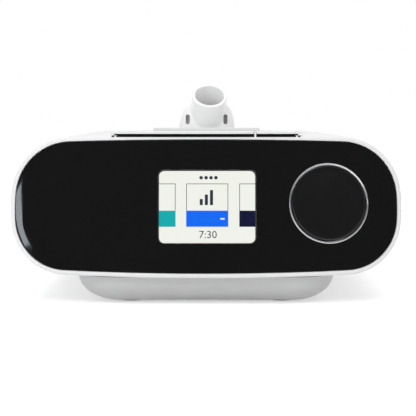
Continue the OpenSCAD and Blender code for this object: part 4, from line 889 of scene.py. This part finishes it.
def bezel_piece(case, front):
    """The white rim round the fascia, with the button recess, its stays and a notch at either end."""
    back = box_of("front_bezel")[1].y
    made = loose(rim_body(case, front, back))
    mat_low, mat_high = box_of("button_mat")
    half = mat_high.x + 2.6 * MM
    floor = mat_low.z
    cut(made, box_mesh((-half, -1, floor), (half, mat_high.y + 0.1 * MM, 1), 0.8 * MM, "z"),
        post_holes(floor))
    notch, notch_deep, notch_high = middle_height(case) - case.end_drop, 0.4 * MM, 0.35 * MM
    cut(made, *[box_mesh((side * case.half_width - notch_deep, -1, notch - notch_high),
                         (side * case.half_width + notch_deep, 1, notch + notch_high)) for side in (-1, 1)])
    therapy, ramp = box_of("therapy_button"), box_of("ramp_button")
    divider = (therapy[1].x + ramp[0].x) / 2
    # Place, half width and top of the divider between the buttons and of the stay at either end
    stays = [(divider, 0.45 * MM, therapy[1].z - 0.6 * MM)]
    stays += [(side * (half - 1.8 * MM), 0.5 * MM, floor + 0.85 * MM) for side in (-1, 1)]
    parts = []
    for x, wide, top in stays:
        start = face_at(case, front, x, top, 1.2 * MM)
        parts.append(box_mesh((x - wide, start, floor - 0.5 * MM), (x + wide, back, top), 0.25 * MM, "x"))
    return piece("rim", joined(taken_back(made), *parts), "case", "shell", ["front_bezel"], 35)


def window_piece(case, front):
    """The clear window before the screen, which follows the front's curve."""
    bm = rounded_plate(front.screen_width, front.screen_height, front.screen_corner)
    bmesh.ops.translate(bm, vec=(front.screen_x, 0, 0), verts=bm.verts)
    sliced(bm, -front.screen_width / 2, front.screen_width / 2 + front.screen_x, 3 * MM)
    for v in bm.verts:
        v.co.y = face_dip(front, v.co.x, front.recess)
    bmesh.ops.transform(bm, matrix=on_face(case, front), verts=bm.verts)
    to_front(bm)
    return piece("clear_window", walled(bm, 1.6 * MM), "case", "window",
                 ["screen_window"], 30)


# Depth of the lit screen below the face's middle, and the thickness of each layer of its picture
SCREEN_FACE = 3.6 * MM
LAYER = 0.03 * MM


def tile(case, front, name, finish, x0, x1, z0, z1, layer, corner=0.0):
    """A thin lit patch on the screen, in millimetres from the screen's middle."""
    face = SCREEN_FACE - layer * LAYER
    bm = box_mesh(((x0 * MM) + front.screen_x, face - LAYER, z0 * MM),
                  ((x1 * MM) + front.screen_x, face, z1 * MM), corner * MM, "y")
    bmesh.ops.transform(bm, matrix=on_face(case, front), verts=bm.verts)
    return piece(name, bm, "case", finish)


def figures(case, front, name, text, size, x, z, finish):
    """Plain figures on the screen."""
    curve = bpy.data.curves.new(name, "FONT")
    curve.body = text
    curve.size = size * MM
    curve.align_x = "CENTER"
    curve.align_y = "CENTER"
    curve.resolution_u = 3
    curve.extrude = 0.01 * MM
    holder = shown(name, curve)
    graph = bpy.context.evaluated_depsgraph_get()
    mesh = bpy.data.meshes.new_from_object(holder.evaluated_get(graph))
    bpy.data.objects.remove(holder)
    bm = bmesh.new()
    bm.from_mesh(mesh)
    bpy.data.meshes.remove(mesh)
    face = SCREEN_FACE - 3 * LAYER
    stand = (on_face(case, front) @ Matrix.Translation((front.screen_x + x * MM, face, z * MM))
             @ Matrix.Rotation(math.radians(90), 4, "X"))
    bmesh.ops.transform(bm, matrix=stand, verts=bm.verts)
    return piece(name, bm, "case", finish)


def screen_pieces(case, front):
    """A generic picture of three cards side by side, with bands, bars and plain figures."""
    half_w, half_h = front.screen_width / 2 / MM - 0.45, front.screen_height / 2 / MM - 0.35
    border = 1.5
    tile(case, front, "screen_border", "black", -half_w - border, half_w + border, -half_h - border,
         half_h + border, -1)
    tile(case, front, "screen_ground", "panel", -half_w, half_w, -half_h, half_h, 0, 2.6)
    for i, x in enumerate((-2.9, -0.5, 1.9, 4.3)):
        tile(case, front, f"screen_dot_{i + 1}", "panel_ink", x - 0.85, x + 0.85, 13.5, 15.2, 1, 0.8)
    line, low, high, band_top = 0.33, -9.7, 11.5, -1.8
    for name, x0, x1, band in (("left", -half_w, -15.4, "band_left"), ("middle", -10.2, 10.3, "band_middle"),
                               ("right", 15.7, half_w, "band_right")):
        tile(case, front, f"card_{name}_line", "panel_line", x0, x1, low, high, 1)
        tile(case, front, f"card_{name}", "panel", x0 + (line if x0 > -half_w else 0),
             x1 - (line if x1 < half_w else 0), low + line, high - line, 2)
        tile(case, front, f"card_{name}_band", band, x0, x1, low, band_top, 3)
    bar_wide, bar_foot = 1.5, 0.9
    for i, (x, tall) in enumerate(((-3.6, 3.0), (-1.1, 5.2), (1.4, 7.4))):
        tile(case, front, f"card_bar_{i + 1}", "panel_ink", x, x + bar_wide, bar_foot, bar_foot + tall,
             3, 0.25)
    tile(case, front, "card_mark", "panel_pale", 6.4, 8.6, -6.2, -5.4, 4, 0.3)
    figures(case, front, "screen_figures", "7:30", 5.2, 0.4, -13.7, "panel_label")


def dial_piece(case, front, dial):
    """The dial: a cap with a shallow dish in its face, and a hub behind it for the shaft."""
    r, top = dial.dial / 2, dial.proud
    dish_half = r - 2.4 * MM
    dish_r = (dish_half ** 2 + dial.dish ** 2) / (2 * dial.dish)
    profile = []
    for i in range(13):
        x = dish_half * i / 12
        profile.append((x, top - dial.dish + dish_r - math.sqrt(dish_r ** 2 - x * x)))
    inside, skirt, hub_r, hub_low = r - 1.8 * MM, -5.9 * MM, 6 * MM, -5.4 * MM
    shaft_r, ceiling, shaft_end = 3.0 * MM, top - 2.2 * MM, top - 2.45 * MM
    profile += [(r - 0.75 * MM, top), (r - 0.5 * MM, top - 0.04 * MM), (r - 0.28 * MM, top - 0.14 * MM),
                (r - 0.1 * MM, top - 0.34 * MM), (r, top - 0.62 * MM), (r, skirt), (inside, skirt),
                (inside, ceiling), (hub_r, ceiling), (hub_r, hub_low), (shaft_r, hub_low),
                (shaft_r, shaft_end), (0, shaft_end)]
    return piece("dial_face", spun(profile, on_dial(case, front, dial)), "dial", "dial",
                 ["control_dial"], 28)


def ring_piece(case, front, dial):
    """The bright ring: a rounded outer bead, a fine groove and a thin inner lip."""
    r = dial.ring / 2
    bore = r - 0.95 * MM
    floor = -7.4 * MM
    seat = -(front.recess + front.fascia)
    lip = [(bore, -0.35 * MM), (bore + 0.03 * MM, -0.1 * MM), (bore + 0.1 * MM, -0.02 * MM),
           (bore + 0.18 * MM, -0.02 * MM), (bore + 0.22 * MM, -0.1 * MM), (bore + 0.24 * MM, -0.4 * MM)]
    groove = [(r - 0.5 * MM, -0.4 * MM), (r - 0.48 * MM, -0.05 * MM)]
    bead_r, top = 0.24 * MM, 0.2 * MM
    bead = [(r - bead_r - bead_r * math.cos(a), top - bead_r + bead_r * math.sin(a))
            for a in (math.radians(d) for d in range(0, 181, 20))]
    flange_r, flange_top, flange_low = r + 2.8 * MM, seat - 0.8 * MM, seat - 2.2 * MM
    base, shaft_r = floor - 1.8 * MM, 5.2 * MM
    housing = [(r, flange_top), (flange_r, flange_top), (flange_r, flange_low), (r, flange_low), (r, base),
               (shaft_r, base), (shaft_r, floor), (bore, floor)]
    profile = [(bore, floor)] + lip + groove + bead + housing
    return piece("bright_ring", spun(profile, on_dial(case, front, dial)), "case", "ring",
                 ["dial_ring"], 50)


def mat_piece(case, front):
    """The mat on the floor of the button recess, with its low rear lip. Its dark rubber is partly the mat's
    own colour and partly painted shade for the gap under the caps.
    """
    low, high = box_of("button_mat")
    half = high.x + 2.45 * MM
    sheet, lip_deep, setback = 0.5 * MM, 0.8 * MM, 1.7 * MM
    bm = box_mesh((-half, -1, low.z), (half, high.y, low.z + sheet))
    sliced(bm, -half + 1 * MM, half, 4 * MM)
    for v in bm.verts:
        if v.co.y < -0.5:
            v.co.y = face_at(case, front, v.co.x, v.co.z, setback)
    mat = taken_back(cut(loose(bm), post_holes(low.z)))
    lip = box_mesh((-half, high.y - lip_deep, low.z + sheet * 0.5), (half, high.y, high.z), 0.2 * MM, "x")
    # Dark rubber, which also stands in for the shade in the gap under the caps: painted shade.
    return piece("button_mat_strip", joined(mat, lip), "case", "rubber", ["button_mat"], 40)


# Pieces of the rest


def body_of(cad):
    """The body that an exact part belongs to."""
    return next(body for body, nodes in frame["record"]["behaviour"]["bodies"].items() if cad in nodes)


def merged_copy(cad):
    """A copy of an exact part, with its loose triangles joined into whole faces."""
    bm = bmesh.new()
    bm.from_mesh(frame["nodes"][cad].data)
    bmesh.ops.remove_doubles(bm, verts=bm.verts, dist=1e-6)
    bmesh.ops.dissolve_limit(bm, angle_limit=math.radians(0.6), use_dissolve_boundaries=False,
                             verts=bm.verts, edges=bm.edges, delimit={"NORMAL"})
    return bm


def softened_copy(name, cad, width, finish, shade_painted_below=None, lift=0.0):
    """An exact part again, with softened edges.

    What lies below a height takes the second finish, black on the button caps as painted shade, and lift
    raises the pad on its top.
    """
    made = loose(merged_copy(cad))
    soft = made.modifiers.new("soft_edges", "BEVEL")
    soft.width = width
    soft.segments = 3
    soft.limit_method = "ANGLE"
    soft.angle_limit = math.radians(40)
    soft.use_clamp_overlap = True
    skin = taken_back(settled(made))
    # Faces below the height take the second finish: painted shade where the caps' lower parts sit in the dark
    # gap under them.
    if shade_painted_below is not None:
        for face in skin.faces:
            face.material_index = int(face.calc_center_median().z < shade_painted_below)
    pad = max(v.co.z for v in skin.verts) - 0.9 * MM
    for v in skin.verts:
        if v.co.z > pad:
            v.co.z += lift
    return piece(name, skin, body_of(cad), finish, [cad])


def outer_edges(bm, crease):
    """The edges that show outside: both of their faces look out freely."""
    tree = BVHTree.FromBMesh(bm)
    off = 0.02 * MM
    found = []
    for edge in bm.edges:
        if len(edge.link_faces) != 2 or edge.calc_face_angle_signed() < math.radians(crease):
            continue
        middle = (edge.verts[0].co + edge.verts[1].co) / 2
        if all(tree.ray_cast(middle + face.normal * off, face.normal)[0] is None
               for face in edge.link_faces):
            found.append(edge)
    return found


def shell_piece(name, cad, finish, seam):
    """An exact shell again, its outer edges softened to seams, and its curves evenly shaded."""
    crease = 50
    bm = merged_copy(cad)
    bm.normal_update()
    bmesh.ops.bevel(bm, geom=outer_edges(bm, crease), offset=seam, segments=2, profile=0.5, affect="EDGES",
                    material=-1, clamp_overlap=True)
    made = piece(name, bm, body_of(cad), finish, [cad], crease)
    even = made.modifiers.new("even_shading", "WEIGHTED_NORMAL")
    even.keep_sharp = True
    return made


def port_tube(port, place):
    """The tube, from below the lid to its eased rim."""
    r, length, ease, sunk = port.radius, port.length, 0.45 * MM, -14 * MM
    return spun([(0, sunk), (r, sunk), (r, length - ease), (r - ease * 0.3, length - ease * 0.3),
                 (r - ease, length), (0, length)], place, 96)


def port_foot(port, start):
    """The foot: rings that narrow, faster towards the top, and lean forward into the tube."""
    side_taper, side_shoulder, back_taper, back_shoulder = 3.6 * MM, 6.5 * MM, 6 * MM, 5 * MM
    lean = math.tan(port.lean) * 0.62
    foot = bmesh.new()
    rings = []
    for u in (0, 0.18, 0.36, 0.52, 0.66, 0.78, 0.88, 0.95, 1.0):
        wide = port.foot_width - side_taper * u - side_shoulder * u ** 5
        deep = port.foot_depth - back_taper * u - back_shoulder * u ** 4
        up = port.foot_height * u
        here = start + Matrix.Rotation(port.turn, 3, "Z") @ Vector((0, -up * lean, up))

        def draw():
            made_ring = bmesh.ops.create_circle(foot, segments=72, radius=1)
            bmesh.ops.scale(foot, vec=(wide, deep, 1), verts=made_ring["verts"])
            bmesh.ops.translate(foot, vec=here, verts=made_ring["verts"])

        rings.append(ring_edges(foot, draw))
    bridged(foot, rings)
    for ring in (rings[0], rings[-1]):
        bmesh.ops.contextual_create(foot, geom=ring)
    bmesh.ops.recalc_face_normals(foot, faces=foot.faces)
    return foot


def port_openings(port, place, neck):
    """The tube's bore, the way down through the neck, the elbow between them and the slots beside."""
    start = place.translation
    bore, length, ease = port.bore, port.length, 0.4 * MM
    mouth = spun([(0, 0), (bore, 0), (bore, length - ease), (bore + ease * 0.3, length - ease * 0.3),
                  (bore + ease, length + 0.05 * MM), (bore + ease, length + 3 * MM),
                  (0, length + 3 * MM)], place, 96)
    well = rod_mesh(start + Vector((0, 0, neck - start.z)), (0, 0, 1), (start.z - neck) * 2, bore, 96)
    elbow = bmesh.new()
    # A little wider than the bores, so that no faces coincide
    bmesh.ops.create_uvsphere(elbow, u_segments=48, v_segments=24, radius=bore + 0.06 * MM)
    bmesh.ops.translate(elbow, vec=start, verts=elbow.verts)
    # The slots' place beside, before and above the start of the tube, and half their depth
    beside, before, above, half_deep = 12 * MM, 13 * MM, 6.9 * MM, 8.5 * MM
    slots = []
    for side in (-1, 1):
        middle = start + Vector((side * beside, -before, above))
        half = Vector((port.slot_width / 2, half_deep, port.slot_height / 2))
        slots.append(box_mesh(middle - half, middle + half, port.slot_width * 0.49, "y"))
    return mouth, well, elbow, *slots


def port_piece(case, port):
    """The hose port: a slanted tube in front of a foot that spreads to both sides of it."""
    place = on_port(case, port)
    start = place.translation
    neck = box_of("outlet_port")[0].z
    neck_wall, overlap = 2.6 * MM, 0.8 * MM
    made = loose(port_tube(port, place))
    cut(made, port_foot(port, start), operation="UNION")
    cut(made, box_mesh(start + Vector((-0.05, -0.05, -0.03)), start + Vector((0.05, 0.05, 0))))
    blend = made.modifiers.new("blend", "REMESH")
    blend.mode = "VOXEL"
    blend.voxel_size = 0.45 * MM
    blend.use_smooth_shade = True
    smooth = made.modifiers.new("smooth", "SMOOTH")
    smooth.factor = 0.5
    smooth.iterations = 8
    settled(made)
    stem = rod_mesh(start + Vector((0, 0, (neck - start.z + overlap) / 2)), (0, 0, 1),
                    start.z - neck + overlap, port.bore + neck_wall)
    cut(made, stem, operation="UNION")
    cut(made, *port_openings(port, place, neck))
    skin = taken_back(made)
    in_order(skin)
    bmesh.ops.remove_doubles(skin, verts=skin.verts, dist=0.02 * MM)
    # At other sizes the merge may leave small holes
    bmesh.ops.holes_fill(skin, edges=[e for e in skin.edges if len(e.link_faces) == 1], sides=12)
    return piece("hose_port", skin, "lid", "port", ["outlet_port"], 38)


# Stage


def soft_lamp(name, place, target, wide, high, watts, colour=(1, 1, 1), glossy=True, turn=0.0):
    """A flat lamp at a place that looks at its target."""
    lamp = bpy.data.lights.new(name, "AREA")
    lamp.shape = "RECTANGLE"
    lamp.size, lamp.size_y = wide, high
    lamp.energy = watts
    lamp.color = colour
    holder = shown(name, lamp)
    aim = (Vector(target) - Vector(place)).to_track_quat("-Z", "Y").to_matrix().to_4x4()
    holder.matrix_world = Matrix.Translation(place) @ aim @ Matrix.Rotation(turn, 4, "Z")
    holder.visible_glossy = glossy


def studio_world():
    """White where the camera looks past the object, plain as light, and dark ahead of the front."""
    world = bpy.data.worlds.new("studio")
    world.use_nodes = True
    tree = world.node_tree
    tree.nodes.clear()
    out = tree.nodes.new("ShaderNodeOutputWorld")
    path = node(tree, "ShaderNodeLightPath")
    way = node(tree, "ShaderNodeSeparateXYZ",
               links=((0, node(tree, "ShaderNodeTexCoord").outputs["Generated"]),))
    ahead = node(tree, "ShaderNodeMapRange", in_1=-0.25, in_2=-0.55, in_3=1.0, in_4=0.0,
                 interpolation_type="SMOOTHSTEP", links=((0, way.outputs[1]),))
    above = node(tree, "ShaderNodeMapRange", in_1=0.55, in_2=0.8, in_3=0.0, in_4=0.35,
                 interpolation_type="SMOOTHSTEP", links=((0, way.outputs[2]),))
    open_way = node(tree, "ShaderNodeMath", operation="MAXIMUM",
                    links=((0, ahead.outputs[0]), (1, above.outputs[0])))
    mirrored = node(tree, "ShaderNodeMapRange", in_3=0.16, in_4=1.0, links=((0, open_way.outputs[0]),))
    seen = node(tree, "ShaderNodeMix", data_type="FLOAT", in_2=0.60, links=(
        (0, path.outputs["Is Glossy Ray"]), (3, mirrored.outputs[0])))
    through = node(tree, "ShaderNodeMath", operation="MAXIMUM", links=(
        (0, path.outputs["Is Camera Ray"]), (1, path.outputs["Is Transmission Ray"])))
    strength = node(tree, "ShaderNodeMix", data_type="FLOAT", in_3=1.0, links=(
        (0, through.outputs[0]), (2, seen.outputs[0])))
    light = node(tree, "ShaderNodeBackground", in_Color=(1, 1, 1, 1),
                 links=(("Strength", strength.outputs[0]),))
    tree.links.new(light.outputs[0], out.inputs["Surface"])
    bpy.context.scene.world = world


def pale_floor():
    """A floor that looks white to the camera and to mirrors, and keeps the machine's shadow."""
    made, tree, body = plain_surface("pale_floor", (0.86, 0.86, 0.86), 0.9, Specular_IOR_Level=0.0)
    path = node(tree, "ShaderNodeLightPath")
    seen = node(tree, "ShaderNodeMath", operation="MULTIPLY", in_1=0.5,
                links=((0, path.outputs["Is Camera Ray"]),))
    mirrored = node(tree, "ShaderNodeMath", operation="MULTIPLY_ADD", in_1=0.9,
                    links=((0, path.outputs["Is Glossy Ray"]), (2, seen.outputs[0])))
    body.inputs["Emission Color"].default_value = (1, 1, 1, 1)
    tree.links.new(mirrored.outputs[0], body.inputs["Emission Strength"])
    bm = bmesh.new()
    bmesh.ops.create_grid(bm, x_segments=2, y_segments=2, size=6)
    mesh = bpy.data.meshes.new("floor")
    bm.to_mesh(mesh)
    bm.free()
    mesh.materials.append(made)
    floor = shown("floor", mesh)


def front_camera():
    """The camera, a little above the machine and almost level."""
    lens = bpy.data.cameras.new("camera")
    lens.lens = 137.35
    lens.sensor_width = 36
    holder = shown("camera", lens)
    yaw, tilt = math.radians(0.005), math.radians(86.643)
    holder.matrix_world = (Matrix.Translation((0.001, -0.9136, 0.093)) @ Matrix.Rotation(yaw, 4, "Z")
                           @ Matrix.Rotation(tilt, 4, "X"))
    bpy.context.scene.camera = holder


def stage_all():
    """The camera, the world, the floor and the three lamps."""
    bpy.context.scene.view_settings.view_transform = "Standard"
    front_camera()
    studio_world()
    pale_floor()
    soft_lamp("top_light", (0, -0.1, 1.2), (0, 0, 0), 1.2, 1.2, 5.0, glossy=False)
    soft_lamp("front_fill", (-0.2, -1.1, 0.9), (0, -0.05, 0.08), 0.9, 0.7, 5.6, glossy=False)
    # The narrow lamp that the fascia's left end mirrors, a metre away from it
    end = Vector((-0.088, -0.135, 0.05))
    side, rise, turn = math.radians(42.8), math.radians(7.9), math.radians(32)
    way = Vector((-math.sin(side) * math.cos(rise), -math.cos(side) * math.cos(rise), math.sin(rise)))
    soft_lamp("strip_light", end + way, end, 0.108, 0.22, 0.92, (0.86, 0.93, 1.0), turn=turn)


# Operators


class StageOperator(bpy.types.Operator):
    """Make the camera, the light and the floor"""
    bl_idname = "machine.stage"
    bl_label = "Stage"

    def execute(self, context):
        stage_all()
        make_finishes(context.scene.part_colours)
        return {"FINISHED"}


class FrontOperator(bpy.types.Operator):
    """Make the glossy front and the white rim round it"""
    bl_idname = "machine.front"
    bl_label = "Front and rim"

    def execute(self, context):
        scene = context.scene
        fascia_piece(scene.case_sizes, scene.front_sizes, scene.dial_sizes)
        bezel_piece(scene.case_sizes, scene.front_sizes)
        return {"FINISHED"}


class ScreenOperator(bpy.types.Operator):
    """Make the clear window and what the lit screen shows"""
    bl_idname = "machine.screen"
    bl_label = "Screen"

    def execute(self, context):
        scene = context.scene
        window_piece(scene.case_sizes, scene.front_sizes)
        screen_pieces(scene.case_sizes, scene.front_sizes)
        return {"FINISHED"}


class DialOperator(bpy.types.Operator):
    """Make the dial and the bright ring round it"""
    bl_idname = "machine.dial"
    bl_label = "Dial and ring"

    def execute(self, context):
        scene = context.scene
        dial_piece(scene.case_sizes, scene.front_sizes, scene.dial_sizes)
        ring_piece(scene.case_sizes, scene.front_sizes, scene.dial_sizes)
        return {"FINISHED"}


class ButtonsOperator(bpy.types.Operator):
    """Make the two buttons, the latch and the release on the side"""
    bl_idname = "machine.buttons"
    bl_label = "Buttons and latches"

    def execute(self, context):
        mat_piece(context.scene.case_sizes, context.scene.front_sizes)
        # The parts of the caps below this height take the black finish: painted shade that darkens the gap
        # under the caps.
        shade = box_of("therapy_button")[1].z - 1.25 * MM
        for name, cad in (("therapy_cap", "therapy_button"), ("ramp_cap", "ramp_button")):
            softened_copy(name, cad, 0.25 * MM, ("cap", "black"), shade_painted_below=shade)
        softened_copy("latch_tab", "lid_latch", 0.3 * MM, "latch", lift=0.6 * MM)
        softened_copy("release_tab", "dock_release", 0.3 * MM, "latch")
        return {"FINISHED"}


class ShellsOperator(bpy.types.Operator):
    """Make the outer shells, the doors and the lid, with soft seams"""
    bl_idname = "machine.shells"
    bl_label = "Shells, doors and lid"

    def execute(self, context):
        for name, cad, finish, slot in (
                ("upper_shell", "top_housing", "shell", "shell_white"),
                # The two lower shells take the lower grey, which is partly painted shade.
                ("lower_shell", "bottom_housing", "lower_shell", "shell_grey"),
                ("rear_shell", "humidifier_base", "lower_shell", "shell_grey"),
                ("rear_lid", "humidifier_lid", "shell", "shell_white"),
                ("air_door", "filter_door", "shell", "shell_white"),
                ("card_door", "sd_door", "shell", "shell_white")):
            shell_piece(name, cad, finish, context.scene.case_sizes.seam)
        return {"FINISHED"}


class PortOperator(bpy.types.Operator):
    """Make the slanted hose port"""
    bl_idname = "machine.port"
    bl_label = "Hose port"

    def execute(self, context):
        port_piece(context.scene.case_sizes, context.scene.port_sizes)
        return {"FINISHED"}


class InsideOperator(bpy.types.Operator):
    """Give every exact part that stays its finish"""
    bl_idname = "machine.inside"
    bl_label = "Parts inside"

    def execute(self, context):
        for name, holder in frame["nodes"].items():
            if holder.hide_render:
                continue
            finish = FINISHES[NODE_FINISH.get(name, "shell")]
            holder.data.materials.clear()
            holder.data.materials.append(finish)
        return {"FINISHED"}


STEPS = (StageOperator, FrontOperator, ScreenOperator, DialOperator, ButtonsOperator, ShellsOperator,
         PortOperator, InsideOperator)


class MachinePanel(bpy.types.Panel):
    """The sizes, the colours and the steps that build the machine"""
    bl_idname = "VIEW3D_PT_breathing_machine"
    bl_label = "Breathing machine"
    bl_space_type = "VIEW_3D"
    bl_region_type = "UI"
    bl_category = "Breathing machine"

    def draw(self, context):
        for field in SIZE_GROUPS:
            group = getattr(context.scene, field)
            box = self.layout.box()
            for key in group.__annotations__:
                box.prop(group, key)
        for step in STEPS:
            self.layout.operator(step.bl_idname)


KINDS = (*SIZE_GROUPS.values(), *STEPS, MachinePanel)


def register():
    for kind in KINDS:
        bpy.utils.register_class(kind)
    for field, group in SIZE_GROUPS.items():
        setattr(bpy.types.Scene, field, bpy.props.PointerProperty(type=group))


def unregister():
    for field in SIZE_GROUPS:
        delattr(bpy.types.Scene, field)
    for kind in reversed(KINDS):
        bpy.utils.unregister_class(kind)


def main():
    """Builds the machine step by step."""
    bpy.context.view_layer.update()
    register()
    for step in STEPS:
        group, name = step.bl_idname.split(".")
        getattr(getattr(bpy.ops, group), name)()


if __name__ == "__main__":
    main()
